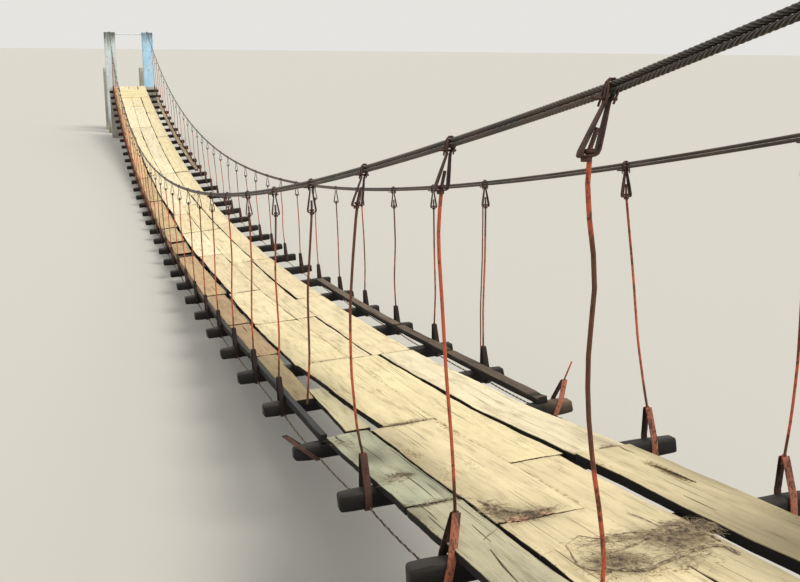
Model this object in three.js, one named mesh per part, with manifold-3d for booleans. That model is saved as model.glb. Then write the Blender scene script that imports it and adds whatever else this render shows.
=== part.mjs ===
// Rope suspension footbridge: timber deck on transoms, hung by steel rods from two pairs of wire ropes.
// Units are mm. X runs along the bridge to the far bank, +Y is its left side, Z is up from level ground.
import * as THREE from 'three';
import { mergeVertices } from 'three/addons/utils/BufferGeometryUtils.js';
import Module from 'manifold-3d';

const wasm = await Module();
wasm.setup();

// Layout along the bridge
const BAY = 900;
const TRANSOM_COUNT = 36;
const POST_X = 18000;
const DECK_END_X = 16250;

// Levels: the deck hangs in a shallow parabola, a little lower on its left side
const DECK_LOW = 200;
const DECK_SAG = 1618;
const DECK_SKEW = 131;
const DECK_TILT = 0.0966;
const DECK_SWAY = 37;
const DIP_DEPTH = 26;
const DIP_TILT = 0.0217;
const DIP_REACH = 3 * BAY;
const ROPE_LOW = DECK_LOW + 937;
const ROPE_SAG = 2200;
const ROPE_SKEW = 80;
const ROPE_SWAY = 93;
const ROPE_HALF_SPACING = 640;
const ROPE_NARROWING = 30;

// Ropes, hangers and ties
const ROPE_DIAMETER = 14;
const ROPE_SIDES = 6;
const ROPE_STACK = 14.6;
const ROD_WIDTH = 10;
const STRAP_WIDTH = 30;
const STRAP_THICK = 5.5;
const STIRRUP_Y = 640;
const STIRRUP_HEIGHT = 190;
const STIRRUP_SHOULDER = 10;
const STIRRUP_SHOULDER_TAPER = 2;
const STIRRUP_TIP_DEPTH = 22;
const SOCKET_DROP = 12;
const TOP_LOOP_DROP = 130;
const TOP_LOOP_WIDTH = 50;
const TOP_LOOP_LEAN = 36;
const TOP_LOOP_CORNER = 7;
const TIE_WIDTH = 5;
const TIE_DROP = 1.2;
const TRANSOM_TIE_Y = 722;

// Timber
const TRANSOM_SIZE = 80;
const TRANSOM_LENGTH = 1524;
const NEAR_RIGHT_REACH = 45;
const BOARD_THICK = 35;
const LEFT_KERB_HEIGHT = 45;
const RIGHT_KERB_HEIGHT = 36;
const FIT = 0.4;
const BOARD_LIFT = 0.7;

// Towers, anchors and abutments
const POST_SIZE = 350;
const ROPE_AT_POST = ROPE_LOW + ROPE_SAG;
const POST_DROP = 30;
const POST_TOP = ROPE_AT_POST - POST_DROP;
const ROPE_FLAT_PAST_POST = 12;
const LINTEL_DIAMETER = 34;
const LINTEL_DROP = 60;
const ANCHOR_X = 19300;
const ANCHOR_LENGTH = 500;
const ANCHOR_WIDTH = 450;
const ANCHOR_TOP = 2120;
const ANCHOR_SLOPE = 130;
const ABUTMENT_X0 = 15950;
const ABUTMENT_HALF_WIDTH = 740;

const TRANSOMS_PER_GROUP = 6;
const HANGERS_PER_GROUP = 9;
const LEFT = 1;
const RIGHT = -1;
const BROKEN_HANGER = 4;
const SLID_HANGER = 3;
const HANGER_SLIDE = 220;

// How a stirrup stands: the height of its tip and its outward lean per unit of height
const UPRIGHT = { tip: STIRRUP_HEIGHT, lean: 0 };
const PULLED_IN = { tip: STIRRUP_HEIGHT, lean: -0.11 };
const FALLEN_LEFT = { tip: 100, lean: 1.05 };
const FALLEN_RIGHT = { tip: 145, lean: 0.5 };
const STUB_END = { y: 787, z: 232 };
const LOOSE_END = { x: 50, y: 650, z: 228 };

const bridge = new THREE.Group();

const looks = {
  rope: { color: 0x4a423a, roughness: 0.75, metalness: 0.6 },
  rod: { color: 0xa8573a, roughness: 0.8, metalness: 0.35 },
  transom: { color: 0x2f2a25, roughness: 0.9, metalness: 0 },
  oldBoard: { color: 0x8a7c66, roughness: 0.9, metalness: 0 },
  paleBoard: { color: 0xc9b68e, roughness: 0.85, metalness: 0 },
  kerb: { color: 0x4d4237, roughness: 0.9, metalness: 0 },
  post: { color: 0x9fb2c4, roughness: 0.85, metalness: 0 },
  concrete: { color: 0x9a968c, roughness: 0.9, metalness: 0 },
};

function addMesh(name, geometry, look) {
  const mesh = new THREE.Mesh(geometry, new THREE.MeshStandardMaterial(looks[look]));
  mesh.name = name;
  bridge.add(mesh);
  return mesh;
}

// Curves of the deck and of the ropes

function transomX(number) {
  return (number - (TRANSOM_COUNT + 1) / 2) * BAY;
}

// The deck dips, most on its left, round the transom whose hangers have let go
function dipShare(x) {
  return Math.max(0, 1 - Math.abs(x - transomX(BROKEN_HANGER)) / DIP_REACH) ** 2;
}

function deckHeight(x) {
  const t = x / POST_X;
  return DECK_LOW + DECK_SAG * t * t + DECK_SKEW * (t - t ** 3) - DIP_DEPTH * dipShare(x);
}

function deckSlope(x) {
  return Math.atan((deckHeight(x + BAY) - deckHeight(x - BAY)) / (2 * BAY));
}

// The frame that a transom at x sits in; past the abutments' inner edges the deck runs on straight
function deckFrame(x) {
  const held = THREE.MathUtils.clamp(x, -ABUTMENT_X0, ABUTMENT_X0);
  const fade = 1 - (held / POST_X) ** 2;
  const frame = new THREE.Matrix4().makeTranslation(held, DECK_SWAY * fade, deckHeight(held));
  frame.multiply(new THREE.Matrix4().makeRotationY(-deckSlope(held)));
  const tilt = DECK_TILT * fade + DIP_TILT * dipShare(held);
  frame.multiply(new THREE.Matrix4().makeRotationX(-Math.atan(tilt)));
  return frame.multiply(new THREE.Matrix4().makeTranslation(x - held, 0, 0));
}

function deckPoint(x, y, z) {
  return new THREE.Vector3(0, y, z).applyMatrix4(deckFrame(x));
}

function ropePoint(x, side) {
  const t = x / POST_X;
  const y = ROPE_SWAY * (1 - t * t) + side * (ROPE_HALF_SPACING - ROPE_NARROWING * t * t);
  return new THREE.Vector3(x, y, ROPE_LOW + ROPE_SAG * t * t + ROPE_SKEW * (t - t ** 3));
}

function ropeSlope(x) {
  const t = x / POST_X;
  return Math.atan((2 * ROPE_SAG * t + ROPE_SKEW * (1 - 3 * t * t)) / POST_X);
}

// Solids

function solidFrom(geometry, matrix) {
  const bare = geometry.clone();
  bare.deleteAttribute('normal');
  bare.deleteAttribute('uv');
  if (matrix) bare.applyMatrix4(matrix);
  const merged = mergeVertices(bare, 1e-4);
  return new wasm.Manifold(new wasm.Mesh({
    numProp: 3,
    vertProperties: new Float32Array(merged.attributes.position.array),
    triVerts: new Uint32Array(merged.index.array),
  }));
}

function geometryFrom(solid) {
  const mesh = solid.getMesh();
  const geometry = new THREE.BufferGeometry();
  geometry.setAttribute('position', new THREE.BufferAttribute(mesh.vertProperties, 3));
  geometry.setIndex(new THREE.BufferAttribute(mesh.triVerts, 1));
  geometry.computeVertexNormals();
  return geometry;
}

function joined(solids) {
  return geometryFrom(solids.reduce((whole, solid) => whole.add(solid)));
}

// A closed skin over rings of points, each ring in the same winding seen from the first ring
function loft(rings) {
  const sides = rings[0].length;
  const positions = rings.flat().flatMap((p) => [p.x, p.y, p.z]);
  const faces = [];
  for (let r = 0; r + 1 < rings.length; r += 1) {
    for (let s = 0; s < sides; s += 1) {
      const a = r * sides + s;
      const b = r * sides + ((s + 1) % sides);
      faces.push(a, b, b + sides, a, b + sides, a + sides);
    }
  }
  const last = (rings.length - 1) * sides;
  for (let s = 1; s + 1 < sides; s += 1) {
    faces.push(0, s + 1, s);
    faces.push(last, last + s, last + s + 1);
  }
  const geometry = new THREE.BufferGeometry();
  geometry.setAttribute('position', new THREE.Float32BufferAttribute(positions, 3));
  geometry.setIndex(faces);
  geometry.computeVertexNormals();
  return geometry;
}

function bar(from, to, width) {
  const along = new THREE.Vector3().subVectors(to, from);
  const box = new THREE.BoxGeometry(width, width, along.length());
  const matrix = new THREE.Matrix4().lookAt(to, from, new THREE.Vector3(0, 1, 0));
  matrix.setPosition(from.clone().add(to).multiplyScalar(0.5));
  return solidFrom(box, matrix);
}

// A flat strap bent into a closed loop: outer and inner outlines, extruded by the strap's width
function strapLoop(outer, inner) {
  const shape = new THREE.Shape(outer.map(([u, v]) => new THREE.Vector2(u, v)));
  shape.holes.push(new THREE.Path(inner.map(([u, v]) => new THREE.Vector2(u, v))));
  const geometry = new THREE.ExtrudeGeometry(shape, { depth: STRAP_WIDTH, bevelEnabled: false });
  return geometry.translate(0, 0, -STRAP_WIDTH / 2);
}

// The first transoms reach further out on the right, and their stirrups with them
function rightReach(number) {
  return number <= SLID_HANGER ? NEAR_RIGHT_REACH : 0;
}

// Transoms: squared timbers, laced together by thin wires near their ends

function transomGroup(first, count) {
  const solids = [];
  for (let number = first; number < first + count; number += 1) {
    const x = transomX(number);
    const reachRight = rightReach(number);
    const timber = new THREE.BoxGeometry(TRANSOM_SIZE, TRANSOM_LENGTH + reachRight, TRANSOM_SIZE);
    solids.push(solidFrom(timber.translate(0, -reachRight / 2, 0), deckFrame(x)));
    const isLast = number === TRANSOM_COUNT;
    for (const side of isLast ? [] : [LEFT, RIGHT]) {
      const next = deckFrame(x + BAY);
      const reach = number === first + count - 1 ? -TRANSOM_SIZE / 2 - FIT : 0;
      const end = new THREE.Vector3(reach, side * TRANSOM_TIE_Y, 0).applyMatrix4(next);
      solids.push(bar(deckPoint(x, side * TRANSOM_TIE_Y, 0), end, TIE_WIDTH));
    }
  }
  return joined(solids);
}

// Hangers: a loop over the rope pair, a rod, and a stirrup round the transom

function stirrupY(number, side) {
  return side * (STIRRUP_Y + (side === RIGHT ? rightReach(number) : 0));
}

function stirrupStance(number, side) {
  if (number === BROKEN_HANGER) return side === LEFT ? FALLEN_LEFT : FALLEN_RIGHT;
  return side === LEFT && number < BROKEN_HANGER ? PULLED_IN : UPRIGHT;
}

function stirrup(number, side) {
  const { tip, lean } = stirrupStance(number, side);
  const inner = TRANSOM_SIZE / 2 + FIT;
  const outer = inner + STRAP_THICK;
  const shoulder = inner + STIRRUP_SHOULDER;
  const holeShoulder = shoulder - STIRRUP_SHOULDER_TAPER;
  const holeTip = tip - STIRRUP_TIP_DEPTH;
  const outline = [[-outer, -outer], [outer, -outer], [outer, shoulder], [0, tip], [-outer, shoulder]];
  const hole = [[-inner, -inner], [inner, -inner], [inner, holeShoulder], [0, holeTip], [-inner, holeShoulder]];
  const place = deckFrame(transomX(number));
  place.multiply(new THREE.Matrix4().makeTranslation(0, stirrupY(number, side) + side * lean * outer, 0));
  place.multiply(new THREE.Matrix4().makeShear(0, 0, 0, 0, 0, side * lean));
  return solidFrom(strapLoop(outline, hole), place.multiply(new THREE.Matrix4().makeRotationX(Math.PI / 2)));
}

// The socket in a stirrup's tip that the rod ends in
function stirrupSocket(number, side) {
  const { tip, lean } = stirrupStance(number, side);
  const z = tip - SOCKET_DROP;
  const out = lean * (z + TRANSOM_SIZE / 2 + STRAP_THICK);
  return deckPoint(transomX(number), stirrupY(number, side) + side * out, z);
}

function topLean(number, side) {
  return side === LEFT && number < BROKEN_HANGER ? TOP_LOOP_LEAN : 0;
}

// Where a hanger sits on its ropes; one has slid along them
function topX(number, side) {
  return transomX(number) + (side === RIGHT && number === SLID_HANGER ? HANGER_SLIDE : 0);
}

function topLoop(number, side) {
  const x = topX(number, side);
  const crown = ROPE_STACK / 2 + ROPE_DIAMETER / 2 + FIT;
  const throat = ROPE_DIAMETER / 2 + FIT;
  const base = TOP_LOOP_WIDTH / 2;
  const holeBase = base - TOP_LOOP_CORNER;
  const lean = topLean(number, side);
  const foot = -TOP_LOOP_DROP;
  const shoulder = throat + STRAP_THICK;
  const rightNeck = lean ? [[shoulder, -crown]] : [];
  const leftNeck = lean ? [[-shoulder, -crown]] : [];
  const outline = [[lean - base, foot], [lean + base, foot], ...rightNeck,
    [shoulder, crown + STRAP_THICK], [-shoulder, crown + STRAP_THICK], ...leftNeck];
  const rightThroat = lean ? [[throat, -crown]] : [];
  const leftThroat = lean ? [[-throat, -crown]] : [];
  const hole = [[lean - holeBase, foot + STRAP_THICK], [lean + holeBase, foot + STRAP_THICK], ...rightThroat,
    [throat, crown], [-throat, crown], ...leftThroat];
  const place = new THREE.Matrix4().makeTranslation(...ropePoint(x, side).toArray());
  place.multiply(new THREE.Matrix4().makeRotationY(-ropeSlope(x)));
  place.multiply(new THREE.Matrix4().makeBasis(
    new THREE.Vector3(0, 1, 0), new THREE.Vector3(0, 0, 1), new THREE.Vector3(1, 0, 0)));
  const socket = new THREE.Vector3(lean, foot + STRAP_THICK / 2, 0).applyMatrix4(place);
  return { solid: solidFrom(strapLoop(outline, hole), place), socket };
}

function hanger(number, side) {
  const top = topLoop(number, side);
  return [top.solid, bar(stirrupSocket(number, side), top.socket, ROD_WIDTH), stirrup(number, side)];
}

function stirrupTie(number, side, isGroupEnd) {
  const x = transomX(number);
  const level = -TRANSOM_SIZE / 2 - FIT - STRAP_THICK / 2 - TIE_DROP;
  const reach = isGroupEnd ? -TRANSOM_SIZE / 2 - 2 * FIT - STRAP_THICK : 0;
  const end = new THREE.Vector3(reach, stirrupY(number + 1, side), level).applyMatrix4(deckFrame(x + BAY));
  return bar(deckPoint(x, stirrupY(number, side), level), end, TIE_WIDTH);
}

function hangerGroup(first, count, side) {
  const solids = [];
  for (let number = first; number < first + count; number += 1) {
    if (number === BROKEN_HANGER) {
      solids.push(stirrup(number, side));
      if (side === RIGHT) solids.push(rodStub());
    } else {
      solids.push(...hanger(number, side));
    }
    if (number < TRANSOM_COUNT) {
      solids.push(stirrupTie(number, side, number === first + count - 1));
    }
  }
  return joined(solids);
}

// What is left of the right rod of the broken pair
function rodStub() {
  const end = deckPoint(transomX(BROKEN_HANGER), RIGHT * STUB_END.y, STUB_END.z);
  return bar(stirrupSocket(BROKEN_HANGER, RIGHT), end, ROD_WIDTH);
}

// The rod that has come out of its stirrup still hangs from the left ropes
function brokenHanger() {
  const top = topLoop(BROKEN_HANGER, LEFT);
  const end = deckPoint(transomX(BROKEN_HANGER) + LOOSE_END.x, LOOSE_END.y, LOOSE_END.z);
  return joined([top.solid, bar(end, top.socket, ROD_WIDTH)]);
}

// Ropes: two to a side, one above the other, over the posts and down to the anchors

function pairRoute(side) {
  const post = ropePoint(POST_X, side);
  const crest = POST_TOP + ROPE_DIAMETER / 2 + FIT + ROPE_STACK / 2;
  const reach = POST_SIZE / 2 + ROPE_FLAT_PAST_POST;
  const points = [];
  for (let number = 1; number <= TRANSOM_COUNT; number += 1) {
    points.push(ropePoint(transomX(number), side));
    if (topX(number, side) > transomX(number)) points.push(ropePoint(topX(number, side), side));
  }
  for (const end of [-1, 1]) {
    const outward = [
      new THREE.Vector3(end * (POST_X - reach), post.y, crest),
      new THREE.Vector3(end * (POST_X + reach), post.y, crest),
      new THREE.Vector3(end * (ANCHOR_X + ANCHOR_SLOPE / 2 - FIT), post.y, ANCHOR_TOP - ANCHOR_SLOPE / 2 + FIT),
    ];
    if (end > 0) points.push(...outward);
    else points.unshift(...outward.reverse());
  }
  return points;
}

// The upward direction that halves the bend at each point, lengthened to keep offsets parallel
function mitres(points) {
  return points.map((point, index) => {
    const before = points[Math.max(index - 1, 0)];
    const after = points[Math.min(index + 1, points.length - 1)];
    const pitchIn = Math.atan2(point.z - before.z, point.x - before.x);
    const pitchOut = Math.atan2(after.z - point.z, after.x - point.x);
    const isStart = index === 0;
    const isEnd = index === points.length - 1;
    const a = isStart ? pitchOut : pitchIn;
    const b = isEnd ? pitchIn : pitchOut;
    const up = new THREE.Vector3(-Math.sin((a + b) / 2), 0, Math.cos((a + b) / 2));
    return up.divideScalar(Math.cos((a - b) / 2));
  });
}

function rope(side, level) {
  const route = pairRoute(side);
  const ups = mitres(route);
  const rings = route.map((point, index) => {
    const centre = point.clone().addScaledVector(ups[index], level * (ROPE_STACK / 2));
    const ring = [];
    for (let s = 0; s < ROPE_SIDES; s += 1) {
      const angle = ((s + 0.5) / ROPE_SIDES) * Math.PI * 2;
      const radius = ROPE_DIAMETER / 2;
      ring.push(new THREE.Vector3(centre.x, centre.y + radius * Math.cos(angle), centre.z)
        .addScaledVector(ups[index], radius * Math.sin(angle)));
    }
    return ring;
  });
  return loft(rings);
}

// Boards and kerbs: strips that follow the transoms' tops

function strip(x0, x1, y0, y1, thickness) {
  const bearings = [-ABUTMENT_X0, ABUTMENT_X0];
  for (let number = 1; number <= TRANSOM_COUNT; number += 1) bearings.push(transomX(number));
  const between = bearings.filter((x) => x > x0 + 1 && x < x1 - 1).sort((a, b) => a - b);
  const stations = [x0, ...between, x1];
  const bottom = TRANSOM_SIZE / 2 + BOARD_LIFT;
  const top = bottom + thickness;
  return loft(stations.map((x) => [
    deckPoint(x, y0, bottom), deckPoint(x, y1, bottom), deckPoint(x, y1, top), deckPoint(x, y0, top),
  ]));
}

// Towers, anchors and abutments

function postSolid() {
  return new THREE.BoxGeometry(POST_SIZE, POST_SIZE, POST_TOP).translate(0, 0, POST_TOP / 2);
}

function anchorSolid(end) {
  const profile = new THREE.Shape();
  profile.moveTo(0, 0);
  profile.lineTo(ANCHOR_LENGTH, 0);
  profile.lineTo(ANCHOR_LENGTH, ANCHOR_TOP);
  profile.lineTo(ANCHOR_SLOPE, ANCHOR_TOP);
  profile.lineTo(0, ANCHOR_TOP - ANCHOR_SLOPE);
  const geometry = new THREE.ExtrudeGeometry(profile, { depth: ANCHOR_WIDTH, bevelEnabled: false });
  geometry.translate(0, 0, -ANCHOR_WIDTH / 2).rotateX(Math.PI / 2);
  return end > 0 ? geometry : geometry.rotateZ(Math.PI);
}

function abutmentSolid(end) {
  const x0 = end > 0 ? ABUTMENT_X0 : -DECK_END_X;
  const x1 = end > 0 ? DECK_END_X : -ABUTMENT_X0;
  const corners = [[x0, -1], [x1, -1], [x1, 1], [x0, 1]];
  const level = TRANSOM_SIZE / 2;
  const top = corners.map(([x, s]) => deckPoint(x, s * ABUTMENT_HALF_WIDTH, level));
  return loft([top.map((p) => new THREE.Vector3(p.x, p.y, 0)), top]);
}

// Assembly

for (const [end, bank] of [[-1, 'near'], [1, 'far']]) {
  for (const [side, hand] of [[LEFT, 'left'], [RIGHT, 'right']]) {
    const y = ropePoint(POST_X, side).y;
    addMesh(`${bank}_${hand}_post`, postSolid(), 'post').position.set(end * POST_X, y, 0);
    addMesh(`${bank}_${hand}_anchor`, anchorSolid(end), 'concrete').position.set(end * ANCHOR_X, y, 0);
  }
  const length = 2 * ropePoint(POST_X, LEFT).y - POST_SIZE - 2 * FIT;
  const pipe = new THREE.CylinderGeometry(LINTEL_DIAMETER / 2, LINTEL_DIAMETER / 2, length, 8);
  addMesh(`${bank}_lintel_pipe`, pipe, 'post').position.set(end * POST_X, 0, POST_TOP - LINTEL_DROP);
  addMesh(`${bank}_abutment`, abutmentSolid(end), 'concrete');
}

for (const [side, hand] of [[LEFT, 'left'], [RIGHT, 'right']]) {
  addMesh(`${hand}_upper_rope`, rope(side, 1), 'rope');
  addMesh(`${hand}_lower_rope`, rope(side, -1), 'rope');
  for (let first = 1; first <= TRANSOM_COUNT; first += HANGERS_PER_GROUP) {
    const name = `${hand}_hangers_${first}_to_${first + HANGERS_PER_GROUP - 1}`;
    addMesh(name, hangerGroup(first, HANGERS_PER_GROUP, side), 'rod');
  }
}
addMesh('left_broken_hanger', brokenHanger(), 'rod');

for (let first = 1; first <= TRANSOM_COUNT; first += TRANSOMS_PER_GROUP) {
  const name = `transoms_${first}_to_${first + TRANSOMS_PER_GROUP - 1}`;
  addMesh(name, transomGroup(first, TRANSOMS_PER_GROUP), 'transom');
}

// Each strip: name, ends along X, edges across Y, look
const boardStrips = [
  ['left_lane_near', -DECK_END_X, -13120, 405, 606, 'oldBoard'],
  ['left_lane_short_board', -13110, -12410, 415, 500, 'paleBoard'],
  ['left_lane_second', -12400, -9650, 440, 588, 'oldBoard'],
  ['left_lane_third', -9600, -4000, 405, 588, 'oldBoard'],
  ['left_lane_fourth', -3850, 3200, 405, 588, 'oldBoard'],
  ['left_lane_fifth', 3205, 9750, 405, 588, 'oldBoard'],
  ['left_lane_far', 9755, DECK_END_X, 405, 588, 'oldBoard'],
  ['centre_lane_near', -DECK_END_X, -9750, -178, 395, 'paleBoard'],
  ['centre_lane_second', -9745, -3250, -178, 395, 'paleBoard'],
  ['centre_lane_third', -3245, 3250, -178, 395, 'paleBoard'],
  ['centre_lane_fourth', 3255, 9750, -178, 395, 'paleBoard'],
  ['centre_lane_far', 9755, DECK_END_X, -178, 395, 'paleBoard'],
  ['right_lane_near', -DECK_END_X, -14060, -500, -190, 'paleBoard'],
  ['right_lane_second', -14055, -8790, -430, -190, 'paleBoard'],
  ['right_lane_third', -8785, -2800, -430, -190, 'paleBoard'],
  ['right_lane_fourth', -2795, 3240, -430, -190, 'paleBoard'],
  ['right_lane_fifth', 3245, 11940, -430, -190, 'paleBoard'],
  ['right_lane_far', 11945, DECK_END_X, -430, -190, 'paleBoard'],
];
for (const [name, x0, x1, y0, y1, look] of boardStrips) {
  addMesh(name, strip(x0, x1, y0, y1, BOARD_THICK), look);
}

// Each strip: name, ends along X, edges across Y, height
const kerbStrips = [
  ['left_kerb_near', -13100, -6300, 592, 624, LEFT_KERB_HEIGHT],
  ['left_kerb_middle', -6290, 1800, 592, 624, LEFT_KERB_HEIGHT],
  ['left_kerb_far', 1810, DECK_END_X, 592, 624, LEFT_KERB_HEIGHT],
  ['right_kerb_near', -13070, -7880, -620, -552, RIGHT_KERB_HEIGHT],
  ['right_kerb_far', 3370, 14300, -620, -552, RIGHT_KERB_HEIGHT],
];
for (const [name, x0, x1, y0, y1, height] of kerbStrips) {
  addMesh(name, strip(x0, x1, y0, y1, height), 'kerb');
}

export default bridge;
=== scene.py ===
"""Rope suspension footbridge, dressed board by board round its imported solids.

Metres throughout. X runs along the bridge to the far bank, +Y is its left side and Z is up.
Deck coordinates are (x along, y across, z above the transoms' centre line) before the deck's sag.
"""
import math
import random

import bpy
import numpy as np
from mathutils import Matrix, Vector


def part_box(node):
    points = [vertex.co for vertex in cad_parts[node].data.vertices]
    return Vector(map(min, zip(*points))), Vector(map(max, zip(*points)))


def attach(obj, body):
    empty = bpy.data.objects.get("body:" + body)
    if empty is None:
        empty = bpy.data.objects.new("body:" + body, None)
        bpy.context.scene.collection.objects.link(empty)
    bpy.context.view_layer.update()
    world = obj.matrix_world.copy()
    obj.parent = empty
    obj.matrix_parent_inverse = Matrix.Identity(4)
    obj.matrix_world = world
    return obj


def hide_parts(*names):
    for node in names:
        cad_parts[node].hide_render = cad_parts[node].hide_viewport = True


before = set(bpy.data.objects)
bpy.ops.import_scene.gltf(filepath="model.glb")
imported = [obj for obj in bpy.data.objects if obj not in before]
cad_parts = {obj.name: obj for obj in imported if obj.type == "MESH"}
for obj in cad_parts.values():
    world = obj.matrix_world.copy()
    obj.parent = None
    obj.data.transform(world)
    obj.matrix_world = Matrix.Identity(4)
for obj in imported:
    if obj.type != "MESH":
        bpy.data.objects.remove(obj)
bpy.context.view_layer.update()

bl_info = {
    "name": "Rope suspension footbridge",
    "version": (1, 0, 0),
    "blender": (4, 5, 0),
    "location": "3D View > Sidebar > Footbridge",
    "description": "Builds the boards, timbers, ropes, hangers and gateways of a small suspension footbridge",
    "category": "Object",
}

# Layout, as in the part's source, in metres
BAY = 0.9
TRANSOM_COUNT, TRANSOMS_PER_NODE, HANGERS_PER_NODE = 36, 6, 9
POST_X, POST_TOP = 18.0, 3.307
ABUTMENT_X0 = 15.95
DECK_LOW, DECK_SAG, DECK_SKEW = 0.2, 1.618, 0.131
DECK_TILT, DECK_SWAY = 0.0966, 0.037
DIP_DEPTH, DIP_TILT, DIP_REACH = 0.026, 0.0217, 2.7
ROPE_LOW, ROPE_SAG, ROPE_SKEW = 1.137, 2.2, 0.08
ROPE_SWAY, ROPE_HALF_SPACING, ROPE_NARROWING = 0.093, 0.64, 0.03
ROPE_STACK = 0.0146
TRANSOM_SIZE, TRANSOM_LENGTH, NEAR_RIGHT_REACH = 0.08, 1.524, 0.045
HALF_TRANSOM = TRANSOM_SIZE / 2
DECK_BEARING = HALF_TRANSOM + 0.0007
STIRRUP_Y, STIRRUP_HEIGHT = 0.64, 0.19
BROKEN, SLID, SLIDE = 4, 3, 0.22
LEFT, RIGHT = 1, -1
HANDS = ((LEFT, "left"), (RIGHT, "right"))
BANKS = ((-1, "near"), (1, "far"))
# Pieces further along than this are too small in the picture for their finest detail
NEAR_X = -9.0


# Curves of the deck and the ropes; each takes one x or an array of them


def transom_x(number):
    return (number - (TRANSOM_COUNT + 1) / 2) * BAY


def dip_share(x):
    return np.maximum(0, 1 - np.abs(x - transom_x(BROKEN)) / DIP_REACH) ** 2


def deck_height(x):
    t = x / POST_X
    return DECK_LOW + DECK_SAG * t * t + DECK_SKEW * (t - t**3) - DIP_DEPTH * dip_share(x)


def deck_slope(x):
    return np.arctan((deck_height(x + BAY) - deck_height(x - BAY)) / (2 * BAY))


def on_deck(co):
    """Deck coordinates, an array of points, laid on the sagging and tilted deck."""
    x, y, z = co[:, 0], co[:, 1], co[:, 2]
    held = np.clip(x, -ABUTMENT_X0, ABUTMENT_X0)
    fade = 1 - (held / POST_X) ** 2
    roll = -np.arctan(DECK_TILT * fade + DIP_TILT * dip_share(held))
    slope, run = deck_slope(held), x - held
    across = y * np.cos(roll) - z * np.sin(roll)
    up = y * np.sin(roll) + z * np.cos(roll)
    return np.stack([
        held + run * np.cos(slope) - up * np.sin(slope),
        DECK_SWAY * fade + across,
        deck_height(held) + run * np.sin(slope) + up * np.cos(slope),
    ], axis=1)


def deck_point(x, y, z):
    return on_deck(np.array([[x, y, z]], float))[0]


def rope_point(x, side):
    t = x / POST_X
    y = ROPE_SWAY * (1 - t * t) + side * (ROPE_HALF_SPACING - ROPE_NARROWING * t * t)
    return np.array([x, y, ROPE_LOW + ROPE_SAG * t * t + ROPE_SKEW * (t - t**3)])


def rope_slope(x):
    t = x / POST_X
    return math.atan((2 * ROPE_SAG * t + ROPE_SKEW * (1 - 3 * t * t)) / POST_X)


# Settings that a user may change


def length_prop(name, default, text, low=0.0005, high=1.0):
    return bpy.props.FloatProperty(
        name=name, default=default, description=text, min=low, max=high, unit="LENGTH", precision=4)


def linear(text, alpha=1.0):
    """An sRGB hex colour as the linear one that the shaders take."""
    parts = [int(text[i:i + 2], 16) / 255 for i in (1, 3, 5)]
    return tuple(p / 12.92 if p <= 0.04045 else ((p + 0.055) / 1.055) ** 2.4 for p in parts) + (alpha,)


def colour_prop(name, text, hint):
    return bpy.props.FloatVectorProperty(
        name=name, default=linear(text), description=hint, subtype="COLOR", size=4, min=0, max=1)


class TimberSettings(bpy.types.PropertyGroup):
    board_thickness: length_prop("Board thickness", 0.034, "How thick the deck boards are")
    left_kerb_height: length_prop("Left kerb", 0.0445, "How high the left edge timber stands")
    right_kerb_height: length_prop("Right kerb", 0.0358, "How high the right edge timber stands")
    edge_wear: length_prop("Edge wear", 0.005, "How far the boards' edges are rounded off")
    raggedness: length_prop("Ragged ends", 0.011, "How uneven the boards' ends are")
    pale_board: colour_prop("Pale boards", "#ffffff", "Tints every dry, foot-worn board's own colour")
    old_board: colour_prop("Old boards", "#ffffff", "Tints every grey-brown board's own colour")
    wet_timber: colour_prop("Transoms", "#211e1c", "Dark, damp timber under the deck")


class SteelSettings(bpy.types.PropertyGroup):
    rod_diameter: length_prop("Rod diameter", 0.011, "Round rods of the hangers")
    strap_width: length_prop("Strap width", 0.03, "Flat straps of the loops and stirrups")
    strap_thickness: length_prop("Strap thickness", 0.0052, "Flat straps of the loops and stirrups")
    wire_diameter: length_prop("Spacing wire", 0.005, "Each of the two twisted wires between stirrups")
    fresh_rust: colour_prop("Orange rust", "#bb5c40", "Young rust on the rods")
    strap_rust: colour_prop("Strap rust", "#9c604a", "Younger rust on the straps, hooks and nuts")
    old_rust: colour_prop("Brown rust", "#4a322b", "Old rust on the straps")


class RopeSettings(bpy.types.PropertyGroup):
    diameter: length_prop("Rope diameter", 0.0146, "Over the crowns of the six strands")
    lay: length_prop("Lay", 0.1, "How far along the rope a strand takes to go once round")
    steel: colour_prop("Wire", "#2a231e", "Dull, greased wire with rust")


class MasonrySettings(bpy.types.PropertyGroup):
    post_width: length_prop("Post width", 0.35, "Square gateway posts")
    paint: colour_prop("Paint", "#9ccbea", "Pale blue paint on the posts")
    concrete: colour_prop("Concrete", "#8f8b80", "Bare cast concrete")


class StageSettings(bpy.types.PropertyGroup):
    floor: colour_prop("Floor", "#b9b7b1", "Plain pale floor")
    lens: bpy.props.FloatProperty(
        name="Lens", default=44.885, min=10, max=200, unit="CAMERA",
        description="Focal length on a 36 mm wide sensor")


# Modelling helpers

# Points nearer than this are at the same place along an axis
TOUCH = 2e-5


def deselect():
    active = bpy.context.view_layer.objects.active
    if active and active.mode != "OBJECT":
        bpy.ops.object.mode_set(mode="OBJECT")
    bpy.ops.object.select_all(action="DESELECT")


def activate(*objects):
    deselect()
    for piece in objects:
        piece.select_set(True)
    bpy.context.view_layer.objects.active = objects[0]


def points(piece):
    co = np.empty(len(piece.data.vertices) * 3, np.float32)
    piece.data.vertices.foreach_get("co", co)
    return co.reshape(-1, 3).astype(float)


def move_points(piece, co):
    piece.data.vertices.foreach_set("co", np.asarray(co, np.float32).ravel())
    piece.data.update()


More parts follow.
